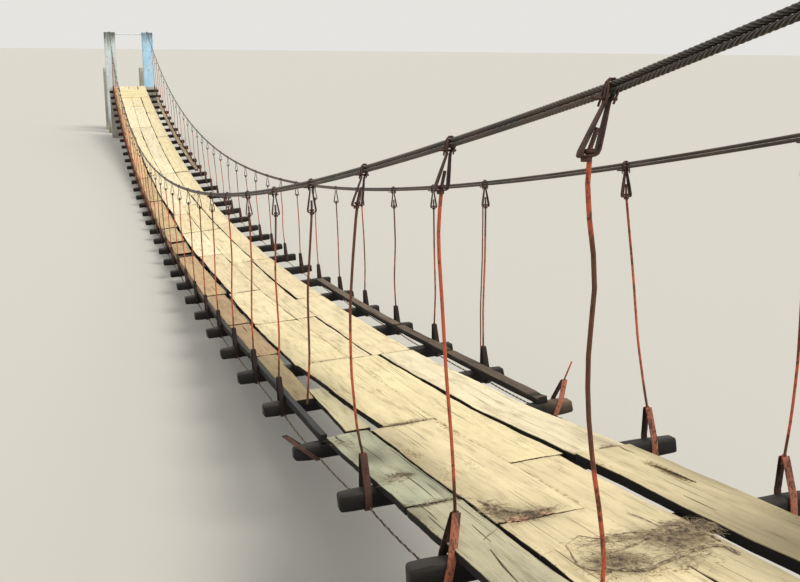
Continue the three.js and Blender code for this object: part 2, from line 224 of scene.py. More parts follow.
def note(piece, name, values):
    """Writes a number or a vector for each point, for the materials to read."""
    values = np.asarray(values, np.float32)
    kind, field = ("FLOAT", "value") if values.ndim == 1 else ("FLOAT_VECTOR", "vector")
    layer = piece.data.attributes.get(name) or piece.data.attributes.new(name, kind, "POINT")
    layer.data.foreach_set(field, values.ravel())


def box(name, low, high):
    """A cube primitive between two corners."""
    deselect()
    low, high = Vector(low), Vector(high)
    bpy.ops.mesh.primitive_cube_add(size=1, location=(low + high) / 2)
    made = bpy.context.object
    made.name = name
    made.scale = high - low
    bpy.ops.object.transform_apply(location=True, rotation=True, scale=True)
    return made


def pick_edges(piece, test):
    """Selects the edges that pass a test on their two end points, and enters edit mode."""
    activate(piece)
    bpy.context.tool_settings.mesh_select_mode = (False, True, False)
    mesh, co = piece.data, points(piece)
    ends = np.empty(len(mesh.edges) * 2, np.int32)
    mesh.edges.foreach_get("vertices", ends)
    ends = ends.reshape(-1, 2)
    chosen = test(co[ends[:, 0]], co[ends[:, 1]])
    mesh.vertices.foreach_set("select", np.isin(np.arange(len(co)), ends[chosen]))
    mesh.polygons.foreach_set("select", np.zeros(len(mesh.polygons), bool))
    mesh.edges.foreach_set("select", chosen)
    bpy.ops.object.mode_set(mode="EDIT")


def runs_along(axis):
    """The test for edges that run along one axis, and so have no length along the others."""
    def test(a, b):
        gap = np.abs(a - b)
        others = [k for k in range(3) if k != axis]
        return (gap[:, axis] > TOUCH) & (gap[:, others].max(axis=1) < TOUCH)
    return test


def divide(piece, axis, cuts):
    if cuts > 0:
        pick_edges(piece, runs_along(axis))
        bpy.ops.mesh.subdivide(number_cuts=cuts)
        bpy.ops.object.mode_set(mode="OBJECT")


def all_edges(a, b):
    return np.ones(len(a), bool)


def round_edges(piece, width, segments=2, test=all_edges):
    pick_edges(piece, test)
    bpy.ops.mesh.bevel(offset=width, segments=segments, affect="EDGES")
    bpy.ops.object.mode_set(mode="OBJECT")


def worn_box(name, low, high, edge, cuts, segments=2):
    """A box with its edges rounded off, then divided this often along each axis in turn."""
    made = box(name, low, high)
    round_edges(made, edge, segments)
    for axis, number in cuts.items():
        divide(made, axis, number)
    return made


def edit_all(piece, *steps):
    """Takes each step in edit mode, with all of the piece selected."""
    activate(piece)
    bpy.ops.object.mode_set(mode="EDIT")
    for step in steps:
        bpy.ops.mesh.select_all(action="SELECT")
        step()
    bpy.ops.object.mode_set(mode="OBJECT")


def face_outward():
    bpy.ops.mesh.normals_make_consistent(inside=False)


def weld(gap=TOUCH):
    bpy.ops.mesh.remove_doubles(threshold=gap)


def tube(name, sides, way, rotation=(0, 0, 0)):
    """A circle of radius 1, drawn out by one metre."""
    deselect()
    bpy.ops.mesh.primitive_circle_add(vertices=sides, radius=1, fill_type="NGON", rotation=rotation)
    made = bpy.context.object
    made.name = name
    bpy.ops.object.transform_apply(location=True, rotation=True, scale=True)
    edit_all(
        made, lambda: bpy.ops.mesh.extrude_region_move(TRANSFORM_OT_translate={"value": way}), face_outward)
    return made


def apply_modifier(piece, kind, **settings):
    activate(piece)
    modifier = piece.modifiers.new(kind.title(), kind)
    for key, value in settings.items():
        setattr(modifier, key, value)
    bpy.ops.object.modifier_apply(modifier=modifier.name)


def smooth(piece, degrees=40):
    activate(piece)
    bpy.ops.object.shade_smooth_by_angle(angle=math.radians(degrees))


def copy_of(template, shape=None):
    """A copy with its own mesh, its points moved by a function of all of them."""
    made = bpy.data.objects.new(template.name, template.data.copy())
    bpy.context.scene.collection.objects.link(made)
    if shape:
        move_points(made, shape(points(made)))
    return made


def remove(*pieces):
    for piece in pieces:
        bpy.data.objects.remove(piece)


def dress(piece, material):
    piece.data.materials.clear()
    piece.data.materials.append(material)
    return piece


def gather(name, parts, nodes=()):
    """Joins finished parts into one piece of the bridge, which stands for its CAD nodes."""
    activate(*parts)
    if len(parts) > 1:
        bpy.ops.object.join()
    whole = bpy.context.object
    whole.name = name
    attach(whole, "root")
    if nodes:
        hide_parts(*nodes)
    return whole


def gather_groups(groups, ending, degrees):
    """Gathers each CAD node's own list of parts."""
    for node, parts in groups.items():
        smooth(gather(f"{node}_{ending}", parts, [node]), degrees)


def node_of(name, number, size):
    """The CAD node that holds one of a numbered run of pieces."""
    first = (number - 1) // size * size + 1
    return f"{name}_{first}_to_{first + size - 1}"


def ripple(seed, *waves):
    """A smooth seeded wander along x: a sum of waves, each given as (height, length)."""
    dice = random.Random(seed)
    terms = [(height, 2 * math.pi / length, dice.uniform(0, 6.28)) for height, length in waves]
    return lambda x: sum(h * np.sin(k * x + p) for h, k, p in terms)


def unit(ways):
    return ways / np.linalg.norm(ways, axis=-1, keepdims=True)


def reach_along(path):
    """How far along a path each of its points lies."""
    return np.concatenate([[0], np.cumsum(np.linalg.norm(np.diff(path, axis=0), axis=1))])


def at_reach(path, reach, spots):
    """The points that lie this far along a path."""
    return np.stack([np.interp(spots, reach, path[:, k]) for k in range(3)], axis=1)


def roughen(co, seed, height, length):
    """A bumpy shift for each point, as weathering leaves on timber and concrete."""
    dice = random.Random(seed)
    shift = np.zeros_like(co)
    for axis in range(3):
        for _ in range(4):
            way = np.array([dice.uniform(-1, 1) for _ in range(3)])
            way *= 2 * math.pi / (length * dice.uniform(0.6, 1.6)) / np.linalg.norm(way)
            shift[:, axis] += np.sin(co @ way + dice.uniform(0, 6.28)) * height / 4
    return shift


# Materials


def made_once(build):
    """Turns a function that fills a node tree into one that makes the named material the first time only."""
    def material_of(name, *looks):
        material = bpy.data.materials.get(name)
        if material is None:
            material = bpy.data.materials.new(name)
            material.use_nodes = True
            material.node_tree.nodes.clear()
            build(material.node_tree, *looks)
        return material
    return material_of


def add(tree, kind, inputs=None, out=0, **settings):
    """Adds one node with its settings and links, and gives the output that others link to."""
    made = tree.nodes.new("ShaderNode" + kind)
    for key, value in settings.items():
        setattr(made, key, value)
    for key, value in (inputs or {}).items():
        if isinstance(value, bpy.types.NodeSocket):
            tree.links.new(value, made.inputs[key])
        else:
            made.inputs[key].default_value = value
    return made.outputs[out] if made.outputs else made


def coats(tree, colour, layers):
    """Lays colours over each other: the pattern, where it starts and is full, its most, the colour."""
    for pattern, start, full, most, above in layers:
        spread = {0: pattern, 1: start, 2: full, 4: most}
        share = add(tree, "MapRange", spread, interpolation_type="SMOOTHSTEP")
        colour = add(tree, "Mix", {0: share, 6: colour, 7: above}, 2, data_type="RGBA")
    return colour


def finish_material(tree, colour, roughness, height=None, relief=0.002, metallic=0.0, sheen=0.5):
    """The shader, its bump and its output; pits and fibres leave rough timber and rust half the sheen."""
    inputs = {"Base Color": colour, "Roughness": roughness, "Metallic": metallic, "Specular IOR Level": sheen}
    if height is not None:
        inputs["Normal"] = add(tree, "Bump", {"Strength": 0.65, "Distance": relief, "Height": height})
    add(tree, "OutputMaterial", {"Surface": add(tree, "BsdfPrincipled", inputs)})


@made_once
def timber(tree, soil_and_shade, contrast, grain_mm, check, gloss=(0.78, 0.95)):
    """Weathered tropical hardwood, sawn and unfinished: dry grey-tan grain, fine drying checks, dirt in the
    low places and painted shade where a piece marks it. Its colour is each board's own; it reads the board's
    own grain coordinates."""
    grain, tint, dirt_and_shade = (
        add(tree, "Attribute", out=out, attribute_name=attribute)
        for attribute, out in (("grain", "Vector"), ("tint", "Color"), ("soil_and_shade", "Fac")))
    per_metre = 1000 / grain_mm
    film, fibres, bands, blotch, speck, split = (
        add(tree, "TexNoise", {
            "Vector": add(tree, "Mapping", {"Vector": grain, "Scale": scale}), "Scale": 1, "Detail": detail,
            "Roughness": rough})
        for scale, detail, rough in (
            ((3.5, 24, 24), 6, 0.68), ((3, per_metre, per_metre), 5, 0.6), ((0.9, 16, 16), 3, 0.5),
            ((5, 9, 9), 5, 0.6), ((70, 90, 90), 4, 0.65), ((1.6, 110, 110), 2, 0.4)))
    figure = add(tree, "Math", {0: add(tree, "Math", {0: bands, 1: blotch}), 1: fibres})
    shade = add(tree, "MapRange", {0: figure, 1: 0.84, 2: 2.04, 3: 1 - contrast, 4: 1 + contrast * 0.55})
    wood = add(tree, "VectorMath", {0: tint, "Scale": shade}, operation="SCALE")
    clean = add(tree, "Math", {0: dirt_and_shade, 1: -1.85})
    patchy = add(tree, "Math", {
        0: add(tree, "Math", {0: speck, 1: blotch}), 1: 1.6, 2: clean}, operation="MULTIPLY_ADD")
    dust_and_shade = linear(soil_and_shade)
    # Dust and dirt over the grain; the last, near-black coat is the thickest dirt and the painted shade of
    # side faces and cracks
    wood = coats(tree, wood, [
        (film, 0.47, 0.72, 0.42, dust_and_shade), (speck, 0.58, 0.74, 0.22, dust_and_shade),
        (split, 0.655, 0.70, check, linear("#1f1a14")), (patchy, 0.30, 0.75, 1, dust_and_shade),
        (dirt_and_shade, 1.0, 1.6, 1, linear("#12100e"))])
    checks = add(tree, "MapRange", {0: split, 1: 0.655, 2: 0.70, 4: check})
    rough = add(tree, "MapRange", {0: blotch, 1: 0.3, 2: 0.8, 3: gloss[0], 4: gloss[1]})
    height = add(tree, "Math", {0: add(tree, "Math", {0: fibres, 1: speck}), 1: checks}, operation="SUBTRACT")
    finish_material(tree, wood, rough, height, 0.0027, sheen=0.22)


@made_once
def rusted_steel(tree, fresh, old, dark):
    """Mild steel left bare outdoors: matt, granular rust, from orange bloom (tone -1) over brown
    scale (1) to the near black of wet old scale (2), with pale grains painted on as glints."""
    place = add(tree, "TexCoord", out="Object")
    own = add(tree, "Attribute", out="Fac", attribute_name="tone")
    patches, grit_and_glints, mottle = (
        add(tree, "TexNoise", {
            "Vector": add(tree, "Mapping", {"Vector": place, "Scale": scale}), "Scale": 1, "Detail": detail,
            "Roughness": 0.64})
        for scale, detail in (((24, 24, 11), 5), ((420, 420, 420), 3), ((120, 120, 60), 4)))
    level = add(tree, "Math", {
        0: own, 1: 0.32, 2: add(tree, "Math", {0: patches, 1: mottle})}, operation="MULTIPLY_ADD")
    # The pale grains from the grit are painted glints
    colour = coats(tree, fresh, [
        (level, 0.82, 1.12, 1, old), (mottle, 0.56, 0.70, 0.8, linear(dark)),
        (grit_and_glints, 0.52, 0.8, 0.35, linear("#b9825f")), (level, 1.3, 1.62, 0.9, linear("#1d1613"))])
    rough = add(tree, "MapRange", {0: grit_and_glints, 1: 0.3, 2: 0.8, 3: 0.62, 4: 0.9})
    finish_material(tree, colour, rough, add(tree, "Math", {0: grit_and_glints, 1: mottle}), 0.0012, 0.15, 0.3)


@made_once
def stranded_wire(tree, steel):
    """Six-strand steel wire rope, greased and dusty: painted shade dark in the valleys, painted glints pale
    on the crowns.
    """
    place = add(tree, "TexCoord", out="Object")
    crown = add(tree, "Attribute", out="Fac", attribute_name="crown")
    patches, wires = (
        add(tree, "TexNoise", {"Vector": place, "Scale": scale, "Detail": 3}) for scale in (5, 420))
    # Painted glints on the strands' crowns, broken up by the wires
    painted_glint = add(tree, "Math", {
        0: add(tree, "MapRange", {0: crown, 1: 0.45, 2: 1.0}),
        1: add(tree, "MapRange", {0: wires, 1: 0.35, 2: 0.7, 3: 0.25, 4: 0.8})}, operation="MULTIPLY")
    # Rust patches, then the painted glints, then near-black painted shade in the valleys
    colour = coats(tree, steel, [
        (patches, 0.4, 0.65, 1, linear("#4f3a2c")), (painted_glint, 0, 1, 0.9, linear("#8a8272")),
        (crown, 0.5, 0.05, 1, linear("#0d0b09"))])
    finish_material(tree, colour, 0.5, wires, 0.0006, 0.5)


@made_once
def cast_concrete(tree, base, lift_mm=150.0):
    """Site-cast concrete: grey cement paste, sand grain, board-marked lifts and rain streaks."""
    place = add(tree, "TexCoord", out="Object")
    sand, cloud, streak = (
        add(tree, "TexNoise", {
            "Vector": add(tree, "Mapping", {"Vector": place, "Scale": scale}), "Scale": 1, "Detail": 4})
        for scale in ((320, 320, 320), (3, 3, 2), (14, 14, 1.1)))
    lifts = add(tree, "Math", {
        0: add(tree, "SeparateXYZ", {0: place}, 2), 1: 1000 / lift_mm}, operation="MULTIPLY")
    joint = add(tree, "MapRange", {0: add(tree, "Math", {0: lifts}, operation="FRACT"), 2: 0.045, 3: 1, 4: 0})
    colour = coats(tree, base, [
        (cloud, 0.3, 0.7, 1, linear("#a39f92")), (streak, 0.52, 0.75, 0.7, linear("#4d4a42")),
        (sand, 0.55, 0.8, 0.5, linear("#6b675d")), (joint, 0, 1, 0.5, linear("#56524a"))])
    relief = add(tree, "Math", {0: add(tree, "Math", {0: sand, 1: cloud}), 1: joint}, operation="SUBTRACT")
    finish_material(tree, colour, 0.9, relief, 0.003)


@made_once
def weathered_paint(tree, paint, top, mildew):
    """Lime paint on concrete: chalky pale blue, black mildew running down from the wet tops,
    and flakes gone to grey where the paint has let go."""
    place = add(tree, "TexCoord", out="Object")
    height = add(tree, "SeparateXYZ", {0: place}, 2)
    cloud, run, spots, flake = (
        add(tree, "TexNoise", {
            "Vector": add(tree, "Mapping", {"Vector": place, "Scale": scale}), "Scale": 1, "Detail": 5,
            "Roughness": rough})
        for scale, rough in (
            ((2.2, 2.2, 1.4), 0.6), ((22, 22, 1.3), 0.65), ((60, 60, 60), 0.7), ((12, 12, 9), 0.7)))
    both = add(tree, "Math", {0: run, 1: spots})
    near_top = add(tree, "MapRange", {0: height, 1: top - 1.15, 2: top + 0.05, 4: mildew})
    growth = add(tree, "Math", {0: both, 1: 0.5, 2: near_top}, operation="MULTIPLY_ADD")
    foot = add(tree, "MapRange", {0: height, 1: 1.0, 2: 0.0, 4: 0.5})
    splashed = add(tree, "Math", {0: both, 1: foot})
    colour = coats(tree, paint, [
        (cloud, 0.35, 0.7, 0.6, linear("#d3e4ec")), (flake, 0.60, 0.64, 0.8, linear("#98948a")),
        (growth, 0.78, 1.06, 0.93, linear("#3a3a33")), (splashed, 1.05, 1.6, 1, linear("#6f6a50"))])
    relief = add(tree, "Math", {
        0: spots, 1: add(tree, "MapRange", {0: flake, 1: 0.60, 2: 0.64, 3: 0.6, 4: 0})})
    rough = add(tree, "MapRange", {0: spots, 1: 0.3, 2: 0.8, 3: 0.7, 4: 0.95})
    finish_material(tree, colour, rough, relief, 0.0015)


@made_once
def dry_fibre(tree, dark, light):
    """Loose dry husk fibre or bark, broken up on the boards: dull, each bit of its own brown."""
    hue = add(tree, "TexNoise", {"Vector": add(tree, "TexCoord", out="Object"), "Scale": 45, "Detail": 3})
    finish_material(tree, coats(tree, linear(dark), [(hue, 0.35, 0.65, 1, linear(light))]), 0.95)


@made_once
def floor_paint(tree, paint):
    """Plain matt paint, so that the floor shows nothing but the bridge's shadow."""
    finish_material(tree, paint, 0.9)


# Boards of the deck


BOARD_TINTS = {
    "green_grey": "#b1b298", "dun": "#c4bd9f", "umber": "#9b8a69", "brown": "#b09574", "russet": "#c2a67f",
    "warm": "#cdb388", "rosy": "#dabb90", "ash": "#bfad86", "straw": "#e2d2aa", "tan": "#e3d4aa",
    "pale": "#e7d7b0", "cream": "#eaddbb", "buff": "#e3d2ad", "fleck": "#d0c6a2",
}

# Each board: near end x, far end x, right edge y at both ends, left edge y at both ends, tint
LANES = {
    "left": [
        ("left_lane_near", [
            (-16.25, -14.392, 0.412, 0.394, 0.612, 0.604, "dun"),
            (-14.384, -13.125, 0.394, 0.386, 0.604, 0.603, "green_grey")]),
        ("left_lane_short_board", [(-13.07, -12.12, 0.356, 0.376, 0.487, 0.466, "fleck")]),
        ("left_lane_second", [
            (-12.33, -10.985, 0.478, 0.440, 0.586, 0.587, "umber"),
            (-10.975, -9.652, 0.424, 0.422, 0.586, 0.587, "brown")]),
        ("left_lane_third", [
            (-9.6, -8.025, 0.408, 0.398, 0.586, 0.587, "brown"),
            (-7.975, -5.21, 0.372, 0.392, 0.586, 0.587, "russet"),
            (-4.86, -4.01, 0.388, 0.386, 0.586, 0.587, "russet")]),
        ("left_lane_fourth", [
            (-3.85, -2.64, 0.378, 0.38, 0.586, 0.587, "ash"),
            (-2.54, 0.235, 0.352, 0.366, 0.586, 0.587, "warm"),
            (0.3, 3.03, 0.366, 0.376, 0.586, 0.587, "warm")]),
        ("left_lane_fifth", [
            (3.09, 6.26, 0.392, 0.392, 0.586, 0.587, "rosy"),
            (6.28, 9.73, 0.394, 0.412, 0.586, 0.587, "rosy")]),
        ("left_lane_far", [
            (9.76, 12.6, 0.425, 0.44, 0.586, 0.587, "rosy"),
            (12.62, 16.25, 0.452, 0.46, 0.586, 0.587, "tan")]),
    ],
    "centre": [
        ("centre_lane_near", [
            (-16.25, -14.725, 0.043, 0.041, 0.400, 0.384, "straw"),
            (-14.715, -13.128, 0.041, 0.040, 0.383, 0.372, "straw"),
            (-13.122, -11.432, 0.040, 0.042, 0.302, 0.386, "tan"),
            (-11.424, -9.755, 0.042, 0.045, 0.395, 0.396, "tan"),
            (-16.25, -14.064, -0.172, -0.182, 0.038, 0.037, "straw"),
            (-14.056, -11.455, -0.212, -0.152, 0.036, 0.038, "tan"),
            (-11.447, -9.757, -0.108, -0.112, 0.038, 0.040, "pale")]),
        ("centre_lane_second", [
            (-9.745, -8.03, 0.045, 0.05, 0.384, 0.362, "pale"),
            (-8.022, -5.33, 0.05, 0.06, 0.328, 0.338, "buff"),
            (-5.322, -3.26, 0.06, 0.075, 0.352, 0.356, "cream"),
            (-9.747, -6.13, -0.13, -0.176, 0.04, 0.055, "pale"),
            (-6.122, -3.262, -0.196, -0.190, 0.055, 0.07, "pale")]),
        ("centre_lane_third", [
            (-3.235, -1.42, 0.08, 0.085, 0.350, 0.322, "pale"),
            (-1.412, 0.52, 0.085, 0.05, 0.300, 0.345, "cream"),
            (0.53, 3.24, 0.05, 0.12, 0.348, 0.350, "cream"),
            (-3.237, -0.62, -0.185, -0.16, 0.075, 0.08, "tan"),
            (-0.61, 3.238, -0.15, -0.132, 0.08, 0.115, "cream")]),
        ("centre_lane_fourth", [
            (3.265, 8.44, 0.13, 0.2, 0.362, 0.372, "pale"),
            (8.45, 9.745, 0.192, 0.185, 0.378, 0.398, "cream"),
            (3.265, 5.37, -0.132, -0.128, 0.125, 0.155, "cream"),
            (5.38, 9.743, -0.126, -0.128, 0.155, 0.18, "cream")]),
        ("centre_lane_far", [
            (9.76, 12.94, 0.18, 0.165, 0.41, 0.43, "cream"),
            (12.95, 16.25, 0.165, 0.16, 0.436, 0.446, "pale"),
            (9.76, 12.942, -0.122, -0.115, 0.174, 0.159, "cream"),
            (12.952, 16.25, -0.108, -0.105, 0.159, 0.154, "pale")]),
    ],
    "right": [
        ("right_lane_near", [(-16.25, -14.108, -0.503, -0.498, -0.236, -0.236, "straw")]),
        ("right_lane_second", [
            (-14.088, -11.462, -0.497, -0.398, -0.246, -0.172, "cream"),
            (-11.45, -8.822, -0.392, -0.4, -0.120, -0.138, "pale")]),
        ("right_lane_third", [
            (-8.808, -6.112, -0.402, -0.402, -0.166, -0.186, "buff"),
            (-6.1, -2.806, -0.402, -0.412, -0.208, -0.202, "buff")]),
        ("right_lane_fourth", [
            (-2.794, 0.4, -0.412, -0.42, -0.198, -0.168, "buff"),
            (0.412, 3.236, -0.42, -0.42, -0.152, -0.144, "pale")]),
        ("right_lane_fifth", [
            (3.3, 8.19, -0.424, -0.42, -0.146, -0.142, "tan"),
            (8.205, 11.935, -0.42, -0.4, -0.144, -0.138, "pale")]),
        ("right_lane_far", [(11.957, 16.25, -0.4, -0.36, -0.134, -0.128, "tan")]),
    ],
}

# Short boards across the far end: near edge, far edge, right end, left end
CROSS_BOARDS = [
    (14.36, 14.6, -0.33, 0.45), (14.66, 14.93, -0.34, 0.44),
    (14.97, 15.2, -0.31, 0.46), (15.25, 15.52, -0.33, 0.44),
]
CROSS_BOTTOM, CROSS_TOP = 0.0765, 0.0985

# Boards thicker than the rest, and by how much
RAISED = {"right_lane_near": 0.011, "left_lane_near": 0.002}

# Waves of a board's sides, torn ends and top: height and length of each
SIDE_WAVES = (0.0030, 1.1), (0.0011, 0.31), (0.0007, 0.12)
TORN_WAVES = (0.5, 0.09), (0.35, 0.037), (0.3, 0.017)
HUMP_WAVES = (0.0016, 1.3), (0.0011, 0.47)
# How far in from a board's end it is torn
TORN_REACH = 0.12

# Darkening by its place: side faces (damp, dirt and painted shade), cracks (painted shade), ends and edges
# (dirt, with its reach).
# The centre lane's inner seams are filled with sand, so their rim is narrow
SIDE_DIRT_AND_SHADE = 1.6
CRACK_SHADE, CRACK_DEPTH = 3.5, 0.02
END_DIRT, END_REACH = 0.45, 0.02
RIM_DIRT, RIM_REACH, SEAM_REACH, SEAMS = 0.48, 0.026, 0.005, (-0.09, 0.25)

# Cracks that go through a board: its start and end on the deck, and its width
CRACKS = [
    (-15.26, 0.536, -14.92, 0.508, 0.009), (-14.865, 0.505, -14.775, 0.402, 0.008),
    (-14.9, 0.474, -14.68, 0.468, 0.006), (-14.71, -0.420, -14.41, -0.402, 0.018),
    (-14.26, -0.436, -14.09, -0.432, 0.010), (-15.0, -0.302, -14.77, -0.300, 0.008),
    (-14.6, 0.552, -14.4, 0.556, 0.006), (-15.02, 0.328, -15.35, 0.322, 0.005),
    (-11.56, 0.462, -11.30, 0.470, 0.010), (-13.20, 0.075, -12.86, 0.070, 0.005),
    (-9.66, 0.49, -9.95, 0.492, 0.008), (-13.28, 0.56, -13.11, 0.562, 0.008),
]

# Dirt on the boards: centre x and y, half length and half width, strength
STAINS = [
    (-14.70, 0.27, 0.05, 0.11, 1.0), (-14.60, 0.34, 0.15, 0.045, 0.9), (-14.52, 0.2, 0.09, 0.03, 0.5),
    (-13.12, 0.19, 0.05, 0.15, 0.9), (-13.22, 0.24, 0.05, 0.08, 0.5), (-11.43, 0.22, 0.05, 0.13, 0.75),
    (-11.15, 0.22, 0.06, 0.1, 0.4), (-13.97, 0.53, 0.06, 0.05, 1.0), (-13.98, 0.46, 0.04, 0.06, 1.1),
    (-14.40, 0.52, 0.022, 0.09, 1.3), (-13.68, 0.5, 0.12, 0.04, 0.55), (-13.3, 0.555, 0.12, 0.03, 0.9),
    (-14.08, -0.42, 0.03, 0.07, 1.0), (-14.06, -0.12, 0.03, 0.07, 0.6), (-14.56, -0.410, 0.15, 0.024, 1.35),
    (-14.0, -0.13, 0.12, 0.02, 0.4), (-15.28, 0.26, 0.12, 0.1, 0.7), (-15.12, -0.1, 0.11, 0.15, 0.8),
    (-15.33, 0.05, 0.06, 0.2, 0.7), (-15.08, 0.2, 0.06, 0.12, 0.55), (-13.9, 0.335, 0.5, 0.045, 0.62),
    (-12.45, 0.07, 0.22, 0.025, 0.45), (-11.46, -0.06, 0.03, 0.06, 0.5), (-8.84, -0.28, 0.03, 0.1, 0.5),
    (-8.65, 0.14, 0.06, 0.025, 0.8), (-9.2, 0.1, 0.05, 0.02, 0.5), (-13.0, 0.33, 0.25, 0.03, 0.5),
    (-11.4, 0.37, 0.2, 0.025, 0.7), (-7.4, 0.28, 0.5, 0.02, 0.5), (-12.0, 0.34, 0.5, 0.02, 0.4),
    (-8.0, 0.48, 0.05, 0.1, 0.8), (-14.9, 0.42, 0.2, 0.015, 0.5), (-13.4, 0.44, 0.1, 0.03, 0.45),
    (-15.4, -0.47, 0.6, 0.03, 0.6), (-14.7, -0.49, 0.5, 0.02, 0.55), (-13.95, 0.2, 0.16, 0.06, 0.35),
    (-14.2, 0.57, 0.15, 0.03, 0.5), (-12.2, 0.2, 0.3, 0.08, 0.3), (-10.6, 0.24, 0.4, 0.06, 0.3),
]

# Damp stretches and painted shade: centre x and y, half length and half width, share of the colour that goes
DAMP_AND_SHADE = [
    (-13.61, 0.52, 0.13, 0.075, 0.64), (-13.85, 0.58, 0.16, 0.035, 0.32), (-13.75, 0.385, 0.9, 0.012, 0.2),
    (-13.2, 0.58, 0.2, 0.04, 0.3), (9.0, -0.41, 5.0, 0.05, 0.16),
    (-15.35, -0.47, 0.34, 0.11, 0.74), (-15.45, -0.32, 0.45, 0.17, 0.66), (-14.6, -0.50, 0.55, 0.05, 0.5),
    (-14.75, -0.33, 0.35, 0.12, 0.14), (-14.35, 0.33, 0.3, 0.05, 0.25), (-10.7, 0.37, 0.6, 0.05, 0.25),
    (-13.8, 0.36, 0.7, 0.075, 0.42), (-14.5, 0.585, 0.2, 0.035, 0.45), (-15.3, 0.52, 0.3, 0.1, 0.12),
    (-12.05, 0.36, 0.5, 0.07, 0.45), (-13.98, -0.46, 0.2, 0.09, 0.25), (-11.6, 0.55, 0.5, 0.03, 0.2),
    (-15.12, -0.04, 0.10, 0.11, 0.5), (-15.05, -0.14, 0.07, 0.06, 0.5),
    (-15.21, 0.20, 0.09, 0.09, 0.5), (-15.28, 0.05, 0.03, 0.13, 0.35), (-14.66, 0.28, 0.10, 0.09, 0.48),
    (-10.9, 0.38, 0.5, 0.03, 0.25),
]


def patches_at(co, patches):
    """The strongest of a list of soft-edged patches at each point, from 0 to 1."""
    total = np.zeros(len(co))
    for x, y, half_x, half_y, strength in patches:
        gap = ((co[:, 0] - x) / half_x) ** 2 + ((co[:, 1] - y) / half_y) ** 2
        total = np.maximum(total, strength * np.exp(-0.6 * gap))
    return total


def segment_length(x):
    """How finely a board is divided along its length: closely near the near end only."""
    return 0.045 if x < -11.4 else 0.13 if x < -6 else 0.4


def crack_cutter(x0, y0, x1, y1, width):
    """A long diamond-shaped wedge that stands through the board."""
    deselect()
    run = Vector((x1 - x0, y1 - y0, 0))
    bpy.ops.mesh.primitive_cylinder_add(
        vertices=6, radius=0.5, depth=0.12, location=((x0 + x1) / 2, (y0 + y1) / 2, DECK_BEARING + 0.017),
        rotation=(0, 0, math.atan2(run.y, run.x)))
    cutter = bpy.context.object
    cutter.scale = (run.length, width, 1)
    bpy.ops.object.transform_apply(location=True, rotation=True, scale=True)
    co = points(cutter)
    drift = ripple(round(x0 * 100), (width * 0.6, 0.11))
    co[:, 1] += drift(co[:, 0])
    move_points(cutter, co)
    return cutter


def board_edges(layout, co):
    """How far along its board each point is, from 0 to 1, and where the right and left edges are there."""
    x0, x1, right0, right1, left0, left1 = layout[:6]
    along = (co[:, 0] - x0) / (x1 - x0)
    return along, right0 + (right1 - right0) * along, left0 + (left1 - left0) * along


def shape_board(board, layout, seed, dice, settings, top):
    """Lets a board's sides wander, tears its ends, cups and humps its top, and notes its side faces."""
    x0, x1, right0, right1, left0, left1 = layout[:6]
    co = points(board)
    along, right, left = board_edges(layout, co)
    across = co[:, 1] / min(left0 - right0, left1 - right1) + 0.5
    right += ripple(seed + 1, *SIDE_WAVES)(co[:, 0])
    left += ripple(seed + 2, *SIDE_WAVES)(co[:, 0])
    co[:, 1] = right + across * (left - right)
    reach = np.clip(1 - np.minimum(along, 1 - along) * (x1 - x0) / TORN_REACH, 0, 1)
    torn = ripple(seed + 3, *TORN_WAVES)(co[:, 1]) + 1.0
    co[:, 0] += np.where(along < 0.5, 1, -1) * reach**2 * torn * settings.raggedness * 0.55
    # Side faces are painted near black: partly damp and dirt, partly painted shade
    note(board, "side_face", np.where(co[:, 2] < top - 0.75 * settings.edge_wear, SIDE_DIRT_AND_SHADE, 0))
    cup = (np.abs(across - 0.5) * 2) ** 2 * dice.uniform(-0.003, 0.002)
    hump = ripple(seed + 4, *HUMP_WAVES)(co[:, 0] + co[:, 1] * 0.8)
    co[:, 2] += np.where(co[:, 2] > (DECK_BEARING + top) / 2, hump + cup, 0)
    move_points(board, co)


def crack_board(board, layout):
    """Cuts each crack whose middle is on the board."""
    x0, x1, right0, right1, left0, left1 = layout[:6]
    for crack in CRACKS:
        x, y = (crack[0] + crack[2]) / 2, (crack[1] + crack[3]) / 2
        if x0 < x < x1 and min(right0, right1) < y < max(left0, left1):
            cutter = crack_cutter(*crack)
            apply_modifier(board, "BOOLEAN", operation="DIFFERENCE", object=cutter, solver="EXACT")
            remove(cutter)


def board_dirt_and_shade(board, layout, co, top):
    """The most of the dirt and painted shade that stains, side faces, cracks, ends and edges give each point.
    """
    x0, x1, right0, _, left0 = layout[:5]
    _, right, left = board_edges(layout, co)
    side_face = np.empty(len(co), np.float32)
    board.data.attributes["side_face"].data.foreach_get("value", side_face)
    rim = RIM_DIRT * np.maximum.reduce([
        np.exp(-np.maximum(gap, 0) / (SEAM_REACH if SEAMS[0] < edge < SEAMS[1] else RIM_REACH))
        for edge, gap in ((right0, co[:, 1] - right), (left0, left - co[:, 1]))])
    ends = END_DIRT * np.exp(-np.minimum(np.abs(co[:, 0] - x0), np.abs(co[:, 0] - x1)) / END_REACH)
    # Deep in a crack the wood is painted near black: painted shade
    in_crack = np.where(co[:, 2] < top - CRACK_DEPTH, CRACK_SHADE, 0)
    return np.maximum.reduce([patches_at(co, STAINS), side_face, in_crack, ends + rim])


def lay_timber(piece, co, grain, tint, soil_and_shade, material, place=on_deck):
    """Notes the grain, colour, and dirt and painted shade that the timber reads, and sets the piece in its
    place.
    """
    for name, values in (("grain", grain), ("tint", tint), ("soil_and_shade", soil_and_shade)):
        note(piece, name, values)
    move_points(piece, place(co))
    return dress(piece, material)


